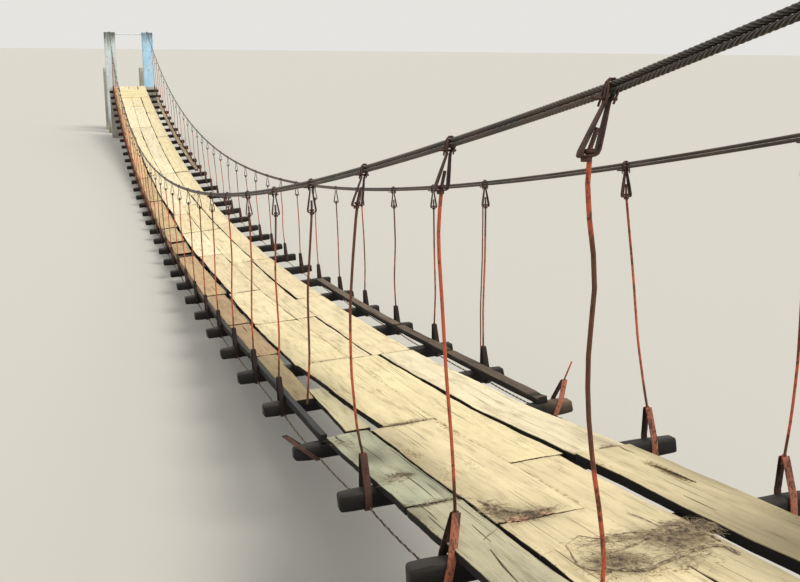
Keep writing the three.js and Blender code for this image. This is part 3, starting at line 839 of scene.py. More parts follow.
def make_board(layout, seed, settings, raised, wash, material):
    """One board: a box with worn edges, ragged ends, wandering sides and its cracks, laid on the deck."""
    x0, x1, right0, right1, left0, left1, tint = layout
    dice = random.Random(seed)
    half = min(left0 - right0, left1 - right1) / 2
    top = DECK_BEARING + settings.board_thickness + raised
    cuts = {0: min(480, int((x1 - x0) / segment_length(x0))), 1: max(3, int(2 * half / 0.035))}
    wear = settings.edge_wear * dice.uniform(0.8, 1.2)
    board = worn_box("board", (x0, -half, DECK_BEARING), (x1, half, top), wear, cuts)
    shape_board(board, layout, seed, dice, settings, top)
    crack_board(board, layout)
    co = points(board)
    grain = co + [dice.uniform(0, 40) for _ in range(3)]
    # Each board's own tone, darkened by damp and by painted shade
    tone_damp_and_shade = dice.uniform(0.9, 1.02) * (1 - patches_at(co, DAMP_AND_SHADE))
    colour = np.outer(tone_damp_and_shade, linear(BOARD_TINTS[tint])[:3]) * wash
    return lay_timber(board, co, grain, colour, board_dirt_and_shade(board, layout, co, top), material)


class BRIDGE_OT_boards(bpy.types.Operator):
    """Lay the three lanes of deck boards and the short boards across their far end"""
    bl_idname = "bridge.boards"
    bl_label = "Deck boards"

    def execute(self, context):
        settings = context.scene.bridge_timber
        pale = timber("worn_pale_hardwood", "#7d6a49", 0.27, 8.0, 0.45)
        old = timber("weathered_grey_hardwood", "#564b39", 0.42, 6.0, 0.75)
        pale_wash, old_wash = np.array(settings.pale_board[:3]), np.array(settings.old_board[:3])
        seed = 100
        for lane, nodes in LANES.items():
            for node, layouts in nodes:
                is_old = lane == "left" and "short" not in node
                parts = []
                for layout in layouts:
                    seed += 10
                    board = make_board(layout, seed, settings, RAISED.get(node, 0.0),
                                       old_wash if is_old else pale_wash, old if is_old else pale)
                    smooth(board, 32)
                    parts.append(board)
                gather(f"{node}_boards", parts, [node])
        self.cross_boards(pale, pale_wash)
        return {"FINISHED"}

    def cross_boards(self, material, wash):
        parts = []
        for k, (x0, x1, y0, y1) in enumerate(CROSS_BOARDS):
            plank = worn_box("plank", (x0, y0, CROSS_BOTTOM), (x1, y1, CROSS_TOP), 0.004, {1: 14})
            co = points(plank)
            co[:, 0] += ripple(k, (0.004, 0.6), (0.003, 0.2))(co[:, 1]) + (k % 2) * 0.02 * co[:, 1]
            colour = np.tile(linear(BOARD_TINTS["tan"])[:3] * wash, (len(co), 1))
            # The planks are darker along their bottoms
            soil_and_shade = np.where(co[:, 2] < 0.08, 0.6, 0.1)
            parts.append(lay_timber(plank, co, co[:, [1, 0, 2]] + k * 3.1, colour, soil_and_shade, material))
        smooth(gather("far_cross_boards", parts))


# Transoms and kerbs


# How far a transom's edges are rounded off, and how far in from its ends it is worn round
TRANSOM_EDGE, TRANSOM_WEAR = 0.013, 0.1
# The boards and kerbs lie on it up to here, and past here it is rough
COVERED_Y = 0.56
# The broken pair's transom turns into a paler round log at its right end: from where, and over what length
LOG_Y, LOG_BLEND, LOG_COLOUR = 0.62, 0.05, "#5f5040"


def rigid_on_deck(co, x):
    """Points round the origin, set as one stiff piece in the deck's frame at x."""
    fade = 1 - (x / POST_X) ** 2
    roll = -math.atan(DECK_TILT * fade + DIP_TILT * float(dip_share(x)))
    turn = Matrix.Rotation(-float(deck_slope(x)), 3, "Y") @ Matrix.Rotation(roll, 3, "X")
    return co @ np.array(turn).T + deck_point(x, 0, 0)


class BRIDGE_OT_transoms(bpy.types.Operator):
    """Square the transoms, wear their ends and set each in its place under the deck"""
    bl_idname = "bridge.transoms"
    bl_label = "Transoms"

    def execute(self, context):
        tint = np.array(context.scene.bridge_timber.wet_timber[:3])
        dark = timber("dark_wet_timber", "#100e0c", 0.5, 9.0, 0.9, (0.45, 0.8))
        groups = {}
        for number in range(1, TRANSOM_COUNT + 1):
            node = node_of("transoms", number, TRANSOMS_PER_NODE)
            groups.setdefault(node, []).append(self.beam(number, tint, dark))
        gather_groups(groups, "timbers", 50)
        return {"FINISHED"}

    def beam(self, number, tint, material):
        """One transom: worn round at its ends, where it sticks out, and flat on top, where the boards lie."""
        dice = random.Random(number * 7)
        half, end = HALF_TRANSOM, TRANSOM_LENGTH / 2
        reach = NEAR_RIGHT_REACH if number <= SLID else 0
        low = (-half, -end - reach + dice.uniform(0, 0.012), -half)
        high = (half, end - dice.uniform(0, 0.012), half)
        beam = worn_box("beam", low, high, TRANSOM_EDGE, {1: 26, 0: 2, 2: 2}, 3)
        co = points(beam)
        ends = np.clip((np.abs(co[:, 1]) - end + TRANSOM_WEAR) / TRANSOM_WEAR, 0, 1) ** 2
        round_end = 0.26 if number == BROKEN else 0.13 * dice.uniform(0.5, 1.2)
        co[:, [0, 2]] *= (1 - round_end * ends)[:, None]
        wobble = roughen(co * [1, 0.35, 1], number, 0.005, 0.09)
        wobble[:, 2] = np.where(co[:, 2] > half - 0.002, np.minimum(wobble[:, 2], 0), wobble[:, 2])
        co += wobble * np.where(np.abs(co[:, 1]) > COVERED_Y, 1.0, 0.4)[:, None]
        co[:, [0, 2]] = np.clip(co[:, [0, 2]], -half, half)
        log = np.clip((-co[:, 1] - LOG_Y) / LOG_BLEND, 0, 1)[:, None] * (number == BROKEN)
        # The colour is painted lighter towards the top and darker towards the bottom: painted light and
        # painted shade
        light = np.clip((co[:, 2] + half) / TRANSOM_SIZE, 0, 1)[:, None]
        colour = (tint * (1 - log) + np.array(linear(LOG_COLOUR)[:3]) * log) * (0.4 + 1.5 * light**3)
        # The bottom 2 cm are painted darker still: painted shade under the transom
        soil_and_shade = np.where(co[:, 2] < -half + 0.02, 0.5, 0.0)
        return lay_timber(beam, co, co[:, [1, 0, 2]] + number * 1.7, colour * dice.uniform(0.85, 1.2), soil_and_shade,
                          material, lambda spots: rigid_on_deck(spots, transom_x(number)))


# Each kerb timber: near end, far end, left edge y, right edge y, node, tint
KERBS = [
    (-13.1, -10.92, 0.624, 0.592, "left_kerb_near", "#313232"),
    (-10.86, -8.3, 0.623, 0.593, "left_kerb_near", "#3f3a37"),
    (-8.24, -6.305, 0.624, 0.593, "left_kerb_near", "#54463a"),
    (-6.285, -2.9, 0.624, 0.593, "left_kerb_middle", "#6a5440"),
    (-2.84, 1.795, 0.623, 0.592, "left_kerb_middle", "#7a5f47"),
    (1.815, 5.9, 0.624, 0.593, "left_kerb_far", "#85664c"),
    (5.96, 10.8, 0.623, 0.592, "left_kerb_far", "#8b6a50"),
    (10.86, 16.25, 0.624, 0.593, "left_kerb_far", "#86694e"),
    (-13.07, -10.6, -0.553, -0.620, "right_kerb_near", "#4f453a"),
    (-10.52, -7.885, -0.552, -0.619, "right_kerb_near", "#5f5346"),
    (3.375, 6.8, -0.554, -0.620, "right_kerb_far", "#7c6b55"),
    (6.88, 10.7, -0.552, -0.619, "right_kerb_far", "#84725a"),
    (10.78, 14.295, -0.553, -0.620, "right_kerb_far", "#8a7860"),
]
# Notches hewn in the right kerb's top: centre x, length, depth
NOTCHES = [(-12.98, 0.05, 0.007), (-12.34, 0.04, 0.006), (-11.62, 0.06, 0.008), (-10.9, 0.04, 0.007)]
# How far apart each kerb's faces may come, clear of the boards and the hangers
LEFT_ROOM, RIGHT_ROOM = (0.5885, 0.6246), (-0.6235, -0.546)
# How far a kerb's edges are rounded off, how deep its top's painted light goes, and its waves: height and
# length
KERB_EDGE, KERB_LIT_SKIN = 0.0025, 0.0022
KERB_WAVES = (0.002, 2.9), (0.001, 0.8)


class BRIDGE_OT_kerbs(bpy.types.Operator):
    """Set the squared timbers along both edges of the deck"""
    bl_idname = "bridge.kerbs"
    bl_label = "Kerbs"

    def execute(self, context):
        material = timber("hewn_kerb_timber", "#1d1916", 0.5, 8.0, 0.85)
        groups = {}
        for k, row in enumerate(KERBS):
            beam = self.beam(k, context.scene.bridge_timber, material, *row)
            groups.setdefault(row[4], []).append(beam)
        gather_groups(groups, "timbers", 40)
        return {"FINISHED"}

    def beam(self, k, settings, material, x0, x1, left, right, node, tint):
        dice = random.Random(900 + k)
        top = DECK_BEARING + (settings.left_kerb_height if left > 0 else settings.right_kerb_height)
        near = x0 < NEAR_X
        cuts = {0: int((x1 - x0) / (0.07 if near else 0.3)), 1: 2, 2: 2}
        beam = worn_box("kerb", (x0, right, DECK_BEARING), (x1, left, top), KERB_EDGE, cuts)
        co = points(beam)
        co += roughen(co * [0.3, 1, 1], 40 + k, 0.0018 if near else 0.0035, 0.11)
        co[:, 2] = np.maximum(co[:, 2], DECK_BEARING)
        for x, length, depth in NOTCHES if "right" in node else ():
            cut = np.exp(-((co[:, 0] - x) / length * 2) ** 4)
            co[:, 2] -= np.where(co[:, 2] > top - 0.02, depth * cut, 0)
        co[:, 1] += ripple(60 + k, *KERB_WAVES)(co[:, 0])
        co[:, 1] = np.clip(co[:, 1], *(LEFT_ROOM if right > 0 else RIGHT_ROOM))
        # The top is painted pale as lit, and the sides painted dark: painted shade and damp
        shade = np.where(co[:, 2] > top - KERB_LIT_SKIN, 1.5, 0.22) * dice.uniform(0.9, 1.1)
        soil_and_shade = 0.35 * np.exp(-np.minimum(co[:, 0] - x0, x1 - co[:, 0]) / 0.03)
        return lay_timber(beam, co, co + k * 2.3, np.outer(shade, linear(tint)[:3]), soil_and_shade, material)


# Ropes


# Over a post the pair lies flat, this high above its top and this far to both sides of its middle
CREST_LIFT, CREST_REACH = 0.0147, 0.187
# Where the pair meets its anchor's sloping face
ANCHOR_X, ANCHOR_Z = 19.3645, 2.0554
# The strands show from here to NEAR_X; how far apart the rope's rings are before, along and after that
STRANDS_FROM_X = -18.2
RING_STEPS = 0.05, 0.0115, 0.12


def rope_route(side):
    """Points along one rope pair's middle line, from anchor to anchor, and how far along each is."""
    inner = [rope_point(x, side) for x in np.arange(-15.75, 15.76, 0.15)]
    y = rope_point(POST_X, side)[1]
    crest = POST_TOP + CREST_LIFT
    far = [(POST_X - CREST_REACH, y, crest), (POST_X + CREST_REACH, y, crest), (ANCHOR_X, y, ANCHOR_Z)]
    near = [(-x, y, z) for x, _, z in reversed(far)]
    route = np.array(near + inner + far)
    return route, reach_along(route)


def rope_stations(route, reach):
    """Where the rope's rings stand, closest together where the strands show."""
    ends = (0, *np.interp([STRANDS_FROM_X, NEAR_X], route[:, 0], reach), reach[-1])
    spans = zip(ends, ends[1:], RING_STEPS)
    return np.concatenate([np.arange(start, stop, step) for start, stop, step in spans] + [ends[-1:]])


STRANDS, RING_POINTS = 6, 24
# How deep the valleys between the strands are, as a share of the rope's radius
VALLEY = 0.20


class BRIDGE_OT_ropes(bpy.types.Operator):
    """Lay up the four wire ropes and hang them over the posts from anchor to anchor"""
    bl_idname = "bridge.ropes"
    bl_label = "Wire ropes"

    def execute(self, context):
        settings = context.scene.bridge_rope
        material = stranded_wire("greased_wire_rope", tuple(settings.steel))
        for side, hand in HANDS:
            route, reach = rope_route(side)
            stations = rope_stations(route, reach)
            centre = at_reach(route, reach, stations)
            across = np.array([0, 1, 0])
            up = np.cross(unit(np.gradient(centre, axis=0)), across)
            up = unit(up * np.sign(up[:, 2])[:, None])
            laid_to = np.interp(NEAR_X, route[:, 0], reach)
            for level, which in ((1, "upper"), (-1, "lower")):
                rope = self.blank(len(stations))
                co = points(rope)
                ring = np.rint(co[:, 0]).astype(int)
                angle = np.arctan2(co[:, 2], co[:, 1])
                crown = 0.5 + 0.5 * np.cos(angle * STRANDS)
                radius = settings.diameter / 2 * (1 - VALLEY + VALLEY * np.sqrt(crown))
                twist = np.minimum(stations, laid_to)[ring] / settings.lay
                spin = (angle + 2 * math.pi * twist * level)[:, None]
                middle = centre[ring] + up[ring] * level * ROPE_STACK / 2
                out = np.cos(spin) * across + np.sin(spin) * up[ring]
                move_points(rope, middle + radius[:, None] * out)
                note(rope, "crown", crown)
                smooth(dress(rope, material), 60)
                gather(f"{hand}_{which}_wire_rope", [rope], [f"{hand}_{which}_rope"])
        return {"FINISHED"}

    def blank(self, rings):
        """A straight tube along X with one metre between its rings, divided in two goes."""
        made = tube("rope", RING_POINTS, (1, 0, 0), (0, math.pi / 2, 0))
        parts = rings - 1
        coarse = max(1, int(math.sqrt(parts)))
        fine = -(-parts // coarse)
        divide(made, 0, coarse - 1)
        divide(made, 0, fine - 1)
        # Rings past the last one needed fall on it and are welded
        co = points(made)
        co[:, 0] = np.minimum(np.rint(co[:, 0] * coarse * fine), parts)
        move_points(made, co)
        edit_all(made, lambda: weld(1e-4))
        return made


# Hangers


def band(name, path, width, thickness, closed=True):
    """A flat strap that follows a path in the X-Z plane, its width along Y: a strip extruded edge by edge."""
    deselect()
    bpy.ops.mesh.primitive_plane_add(size=1)
    strap = bpy.context.object
    strap.name = name
    co = points(strap)
    ends = np.where(co[:, :1] < 0, np.array(path[0]), np.array(path[1]))
    ends[:, 1] += np.sign(co[:, 1]) * width / 2
    move_points(strap, ends)
    for before, after in zip(path[1:], path[2:]):
        def at_end(a, b):
            return np.abs(np.stack([a - before, b - before])[:, :, [0, 2]]).max(axis=(0, 2)) < TOUCH
        pick_edges(strap, at_end)
        step = Vector(after) - Vector(before)
        bpy.ops.mesh.extrude_region_move(TRANSFORM_OT_translate={"value": step})
        bpy.ops.object.mode_set(mode="OBJECT")
    edit_all(strap, *([weld] if closed else []), face_outward)
    apply_modifier(strap, "SOLIDIFY", thickness=thickness, offset=0, use_even_offset=True)
    apply_modifier(
        strap, "BEVEL", width=0.0008, segments=1, limit_method="ANGLE", angle_limit=math.radians(50))
    return strap


def bar(name, rings, sides, profile=None):
    """A round bar of unit length along Z with evenly spaced rings; profile swells or thins each ring."""
    made = tube(name, sides, (0, 0, 1))
    divide(made, 2, rings - 2)
    if profile:
        co = points(made)
        step = np.rint(co[:, 2] * (rings - 1)).astype(int)
        co[:, :2] *= np.array([profile(k) for k in range(rings)])[step][:, None]
        move_points(made, co)
    return made


# A bar's direction is measured over a stretch of this length
SIGHT = 0.008


def along_path(path, radius):
    """Moves a unit bar onto a path of points, with rings square to it."""
    path = np.array(path, float)
    reach = reach_along(path)

    def shape(co):
        spot = co[:, 2] * reach[-1]
        behind = np.clip(spot - SIGHT / 2, 0, reach[-1] - SIGHT)
        ahead = unit(at_reach(path, reach, behind + SIGHT) - at_reach(path, reach, behind))
        # Steep bars and level ones each take a guide that they never run along
        guide = [0.86, 0.5, 0.1] if abs(ahead[0, 2]) > 0.6 else [0.1, 0.2, 0.97]
        side = unit(np.cross(ahead, guide))
        return at_reach(path, reach, spot) + radius * (co[:, :1] * side - co[:, 1:2] * np.cross(side, ahead))
    return shape


def tag(piece, material, tone):
    """Gives a steel part its material, and says how old its rust is; on the stirrups the tone carries painted
    light and shade too.
    """
    note(piece, "tone", np.zeros(len(piece.data.vertices)) + tone)
    return dress(piece, material)


def drawn(template, path, radius, material, tone=None):
    """A copy of a unit bar along a path, with its age of rust where it is of steel."""
    made = copy_of(template, along_path(path, radius))
    return dress(made, material) if tone is None else tag(made, material, tone)


def strap_steel(steel):
    return rusted_steel("brown_rusted_strap", tuple(steel.strap_rust), tuple(steel.old_rust), "#2a1f1c")


def stirrup_y(number, side):
    return side * (STIRRUP_Y + (NEAR_RIGHT_REACH if side == RIGHT and number <= SLID else 0))


# The height of a stirrup's tip, and its outward lean per unit of height, where it isn't upright
STANCES = {
    (1, LEFT): (STIRRUP_HEIGHT, -0.30), (2, LEFT): (STIRRUP_HEIGHT, -0.27),
    (3, LEFT): (STIRRUP_HEIGHT, -0.02),
    (BROKEN, LEFT): (0.1, 1.05), (BROKEN, RIGHT): (0.145, 0.5),
}
# How far the foot of a loop is pulled to the left, on the hangers that are pulled out of line
LEANS = {(1, LEFT): 0.06, (2, LEFT): 0.036, (3, LEFT): 0.036}
# Where the broken pair's rods end, from their transom: along, across and up
LOOSE_END, STUB_END = (0.05, STIRRUP_Y + 0.012, 0.226), (0, -0.787, 0.232)
# How near rods bow sideways on their way down: share of the way and shift along Y
BOWS = {
    (1, LEFT): [(0.09, 0.003), (0.16, -0.008), (0.25, -0.016), (0.35, 0.002), (0.43, 0.009), (0.53, 0.008),
                (0.65, -0.003), (0.76, -0.020), (0.91, -0.029)],
    (2, LEFT): [(0.13, 0.016), (0.32, 0.012), (0.55, 0.009), (0.75, 0.001), (0.89, -0.001)],
    (3, LEFT): [(0.2, 0.021), (0.40, 0.038), (0.64, 0.040), (0.89, 0.022)],
    (4, LEFT): [(0.4, 0.012), (0.75, -0.006)],
    (3, RIGHT): [(0.35, 0.004), (0.67, 0.014), (0.9, 0.007)],
    (2, RIGHT): [(0.35, -0.015), (0.64, -0.024), (0.85, -0.016)],
}
# How rusted near rods are on their way down: share of the way and tone, from orange (-1) to brown (1)
ROD_TONES = {
    (1, LEFT): [(0, -0.7), (0.13, -0.5), (0.2, 0.6), (0.5, 0.8), (0.64, 0.0), (1, -0.3)],
    (2, LEFT): [(0, 0.4), (0.1, -0.7), (0.86, -0.6), (0.9, 1.3), (1, 1.5)],
    (3, LEFT): [(0, 0.9), (0.4, 0.5), (0.5, -0.5), (0.88, -0.5), (0.93, 1.4), (1, 1.5)],
}
# How rusted stirrups are: by transom number, and the exceptions
STIRRUP_AGES = [1, 2, 3, 4, 5, 10, 20], [0.3, 0.3, 0.5, 0.8, 3.0, 2.4, 0.8]
ODD_AGES = {(BROKEN, LEFT): 1.5, (3, LEFT): 1.5, (BROKEN, RIGHT): 0.2}

# Half of a loop: its strap hugs both ropes, pinches in under them and spreads to its foot. Across and up
LOOP_LINE = [
    (0, 0.0172), (0.0050, 0.0164), (0.0085, 0.0132), (0.0102, 0.0080), (0.0102, -0.0120), (0.0080, -0.0220),
    (0.0052, -0.0300), (0.0064, -0.0400), (0.0125, -0.0800), (0.0192, -0.1240), (0.0180, -0.1330),
    (0.0135, -0.1360), (0, -0.1360)]
# How wide the loop's strap still is at each height
LOOP_WIDTHS = [-0.13, -0.08, -0.03, -0.01, 0.02], [1, 0.9, 0.6, 0.34, 0.28]
# The wire hook that crosses over both ropes inside a loop, and the pin under them
HOOK_LINE = [
    (0.0085, -0.016, -0.034), (0.0125, -0.011, 0.0), (0.0110, -0.005, 0.011), (0.0060, 0, 0.0185),
    (0, 0.003, 0.0206), (-0.0060, 0.006, 0.0185), (-0.0110, 0.009, 0.011), (-0.0125, 0.012, 0),
    (-0.0085, 0.017, -0.034)]
PIN_START, PIN_END = (0.034, 0.004, -0.0195), (-0.022, -0.003, -0.0215)
# The right leg of a stirrup, from under the transom to its tip, by the transom's half size
FOOT_GAP = 0.0032
INNER = HALF_TRANSOM + FOOT_GAP
FOOT_LINE = [
    (0, 0, -INNER), (INNER - 0.012, 0, -INNER), (INNER, 0, -INNER + 0.012), (INNER, 0, 0), (INNER, 0, 0.050),
    (INNER - 0.005, 0, 0.066), (0.0125, 0, 0.172), (0.0085, 0, 0.184)]
# A stirrup leans from this far under the transom's middle, and is drawn out from this height to its tip
LEAN_FROM, NECK, NECK_TO_TIP = -0.0455, 0.050, 0.14
# In a loop, how high the rod's head and its thread's top are; in a stirrup, how far the eye is under the tip
SOCKET_Z, THREAD_TOP_Z, LOOP_DROP, EYE_DROP = -0.135, -0.080, 0.13, 0.012
HOOK_RADIUS, PIN_RADIUS, STUB_RADIUS, SPARE_SHIFT = 0.0026, 0.0036, 0.0045, 0.017
NUT_RADIUS, NUT_HEIGHT, NUT_EDGE = 0.0115, 0.009, 0.0009
# The nuts on a rod's thread: share of the way up it from the rod's head, and tone
NUTS = [(0.16, 0.9), (-0.13, 0.6)]
# From where to where the collar on a rod's end and the thread under it run, along the rod past its end
COLLAR, TAIL, COLLAR_RADIUS = (-0.010, 0.026), (0.02, 0.058), 0.0095


class BRIDGE_OT_hangers(bpy.types.Operator):
    """Make every rope loop, rod, nut and stirrup, and the rod ends that have come away"""
    bl_idname = "bridge.hangers"
    bl_label = "Hangers"

    def execute(self, context):
        steel = context.scene.bridge_steel
        self.orange = rusted_steel("orange_rusted_rod", tuple(steel.fresh_rust), linear("#5f3c2c"), "#4a2c20")
        self.brown = strap_steel(steel)
        self.rod_radius = steel.rod_diameter / 2
        self.make_templates(steel)
        groups = {}
        for side, hand in HANDS:
            for number in range(1, TRANSOM_COUNT + 1):
                node = node_of(f"{hand}_hangers", number, HANGERS_PER_NODE)
                on_ropes, on_transom = self.hanger(number, side)
                groups.setdefault(node, []).extend(on_transom)
                if number != BROKEN:
                    groups[node].extend(on_ropes)
                elif side == LEFT:
                    groups["left_broken_hanger"] = on_ropes
                else:
                    remove(*on_ropes)
        gather_groups(groups, "steel", 45)
        remove(self.loop, self.hook, self.rod, self.coarse_rod, self.thread, self.nut, self.foot, self.pin)
        return {"FINISHED"}

    def make_templates(self, steel):
        path = [(x, 0, z) for x, z in LOOP_LINE] + [(-x, 0, z) for x, z in reversed(LOOP_LINE[:-1])]
        self.loop = band("loop", path, steel.strap_width * 0.9, steel.strap_thickness * 0.8)
        co = points(self.loop)
        co[:, 1] *= np.interp(co[:, 2], *LOOP_WIDTHS)
        move_points(self.loop, co)
        self.hook = bar("hook", 14, 8)
        self.pin = bar("pin", 4, 8)
        self.rod = bar("rod", 16, 10)
        self.coarse_rod = bar("rod", 9, 6)
        self.thread = bar("thread", 22, 8, lambda k: 1.04 if k % 2 else 0.86)
        deselect()
        bpy.ops.mesh.primitive_cylinder_add(vertices=6, radius=NUT_RADIUS, depth=NUT_HEIGHT)
        self.nut = bpy.context.object
        round_edges(self.nut, NUT_EDGE, 1)
        path = [(-x, 0, z) for x, _, z in reversed(FOOT_LINE[1:])] + FOOT_LINE
        self.foot = band("foot", path, steel.strap_width, steel.strap_thickness, closed=False)

    def hanger(self, number, side):
        """One hanger, as the parts that its ropes hold and the parts that its transom holds."""
        spot = (number, side)
        dice = random.Random(number * 31 + side)
        tone = dice.uniform(-0.8, 0.3)
        rust = [tone + dice.uniform(low, high) for low, high in ((-0.2, 1.1), (-0.5, 0.7), (-0.6, 0.2))]
        x = transom_x(number) + (SLIDE if spot == (SLID, RIGHT) else 0)
        lean = LEANS[spot] if spot in LEANS else dice.uniform(-0.004, 0.004)
        at, near = rope_point(x, side), x < NEAR_X
        turn = np.array(Matrix.Rotation(-rope_slope(x), 3, "Y") @ Matrix.Rotation(math.pi / 2, 3, "Z"))

        def by_rope(co):
            moved = np.array(co, float)
            moved[:, 0] += lean * np.clip(-moved[:, 2] / LOOP_DROP, 0, 1.2)
            return moved @ turn.T + at

        on_ropes = [tag(copy_of(self.loop, by_rope), self.brown, 1.35 + tone * 0.3)]
        if near:
            for hand in (1, -1):
                crossed = by_rope(np.array(HOOK_LINE) * [1, hand, 1])
                on_ropes.append(drawn(self.hook, crossed, HOOK_RADIUS, self.brown, 0.8))
            pin = by_rope([np.add(PIN_START, (0.01 * dice.random(), 0, 0)), PIN_END])
            on_ropes.append(drawn(self.pin, pin, PIN_RADIUS, self.brown, 1.0))
        socket, thread_top = by_rope([(0, 0, SOCKET_Z), (0, 0, THREAD_TOP_Z)])
        tip, out = STANCES.get(spot, (STIRRUP_HEIGHT, 0.0))
        foot_y, level = stirrup_y(number, side), tip - EYE_DROP
        eye = deck_point(transom_x(number), foot_y + side * out * (level - LEAN_FROM), level)
        end = eye if number != BROKEN else deck_point(*np.add(LOOSE_END, (transom_x(number), 0, 0)))
        some = [(0.35, dice.uniform(-0.012, 0.012)), (0.72, dice.uniform(-0.01, 0.01))]
        path = self.rod_path(socket, thread_top, end, BOWS.get(spot, some))
        rod = self.rod if near else self.coarse_rod
        plain = [(0, rust[0]), (0.45, rust[1]), (0.9, rust[2]), (0.94, 1), (1, 1)]
        tones = np.interp(points(rod)[:, 2], *zip(*ROD_TONES.get(spot, plain)))
        on_ropes.append(drawn(rod, path, self.rod_radius, self.orange, tones))
        if near:
            on_ropes.append(drawn(self.thread, [socket, thread_top], self.rod_radius * 0.95, self.brown, 0.6))
        for share, age in NUTS:
            centre = socket + (thread_top - socket) * share
            on_ropes.append(tag(copy_of(self.nut, lambda co: co @ turn.T + centre), self.brown, age))
        on_transom = [self.stirrup(spot, foot_y, tip, out, tone)]
        # A second thin rod is tied beside the right one of the next pair after the broken one
        if spot == (BROKEN + 1, RIGHT):
            beside = path + [0, SPARE_SHIFT, 0]
            on_ropes.append(drawn(self.rod, beside, self.rod_radius * 0.7, self.orange, 0.5))
        if spot == (BROKEN, RIGHT):
            stub = deck_point(*np.add(STUB_END, (transom_x(number), 0, 0)))
            on_transom.append(drawn(self.pin, [eye, stub], STUB_RADIUS, self.orange, 0.0))
        if number != BROKEN:
            down = unit(end - path[-3])
            for span, radius, steel, age in (
                    (COLLAR, COLLAR_RADIUS, self.orange, 0.2),
                    (TAIL, self.rod_radius * 0.9, self.brown, 1.0)):
                on_transom.append(drawn(self.pin, [end + down * reach for reach in span], radius, steel, age))
        return on_ropes, on_transom

    def rod_path(self, socket, thread_top, end, bow):
        """A rod's line, from inside its loop to its end, bowed as told and then eased."""
        shares, shifts = zip((0, 0), *bow, (1, 0))
        path = np.array([socket + (thread_top - socket) * 0.3] + [
            socket + (end - socket) * step + [0, np.interp(step, shares, shifts), 0]
            for step in np.linspace(0.03, 1, 24)])
        path[1:-1] = (path[:-2] + path[1:-1] * 2 + path[2:]) / 4
        return path

    def stirrup(self, spot, foot_y, tip, out, tone):
        number, side = spot

        def on_transom(co):
            moved = co.copy()
            high = moved[:, 2] > NECK
            moved[high, 2] = NECK + (moved[high, 2] - NECK) * (tip - NECK) / NECK_TO_TIP
            moved[:, 1] += foot_y + side * out * (moved[:, 2] - LEAN_FROM)
            return rigid_on_deck(moved, transom_x(number))
        # The near leg is painted fresher and the far leg darker: painted light on the near one, painted shade
        # on the far one
        leg_light_and_shade = np.where(points(self.foot)[:, 0] < 0, -0.45, 1.3)
        age = ODD_AGES.get(spot, np.interp(number, *STIRRUP_AGES))
        return tag(copy_of(self.foot, on_transom), self.brown, age + leg_light_and_shade + tone * 0.3)


# A spacing wire starts and ends this far from the transoms' middles, and this far under them
WIRE_GAP, WIRE_DROP = 0.046, 0.030
# How many turns two wires take round each other in a bay, and the points of a near wire and a far one
TWISTS, NEAR_POINTS, FAR_POINTS = 8, 60, 8
# The knot on a stirrup: its middle ahead of the transom's, its half width and height, and its bottom and top
KNOT_X, KNOT_SIZE, KNOT_SPAN = 0.0465, (0.004, 0.0165), (-0.036, -0.024)


class BRIDGE_OT_wires(bpy.types.Operator):
    """Run the spacing wire from stirrup to stirrup along each side"""
    bl_idname = "bridge.wires"
    bl_label = "Spacing wires"

    def execute(self, context):
        radius = context.scene.bridge_steel.wire_diameter / 2
        material = rusted_steel("dull_spacing_wire", linear("#86735a"), linear("#2f2924"), "#1b1714")
        strand, plain, knot = bar("strand", NEAR_POINTS, 6), bar("plain", FAR_POINTS, 4), bar("knot", 30, 6)
        for side, hand in HANDS:
            parts = []
            for number in range(1, TRANSOM_COUNT):
                dice = random.Random(number * 13 + side)
                sag = dice.uniform(0.004, 0.016)
                y0, y1 = stirrup_y(number, side), stirrup_y(number + 1, side)
                x, near = transom_x(number), transom_x(number) < NEAR_X
                share = np.linspace(0, 1, NEAR_POINTS if near else FAR_POINTS)
                for start, age in ((0, 1.6 if side == LEFT else 0.3), (math.pi, -1.0)):
                    angle = start + share * TWISTS * 2 * math.pi * near
                    line = np.stack([
                        x + WIRE_GAP + share * (BAY - 2 * WIRE_GAP),
                        y0 + (y1 - y0) * share + radius * np.cos(angle),
                        -WIRE_DROP - sag * 4 * share * (1 - share) + radius * np.sin(angle)], axis=1)
                    age += dice.uniform(-0.4, 0.4)
                    parts.append(drawn(strand if near else plain, on_deck(line), radius, material, age))
                if near:
                    turn = np.linspace(0, 4 * math.pi, 40)
                    coil = np.stack([KNOT_X + KNOT_SIZE[0] * np.cos(turn), y0 + KNOT_SIZE[1] * np.sin(turn),
                                     np.linspace(*KNOT_SPAN, 40)], axis=1)
                    parts.append(drawn(knot, rigid_on_deck(coil, x), radius, material, 0.0))
            smooth(gather(f"{hand}_spacing_wire", parts), 60)
        remove(strand, plain, knot)
        return {"FINISHED"}


# Gateways, anchors and abutments


POST_EDGE = 0.016
# Chips: how deep their pattern goes, how much of it stays whole, and how near a corner they are
CHIP_DEPTH, CHIP_FROM, CHIP_CORNER = 0.05, 0.016, 0.93
PIPE_RADIUS, PIPE_SAG, FLANGE_RADIUS, FLANGE_DEPTH, PIPE_RINGS = 0.0168, 0.004, 0.031, 0.012, 30


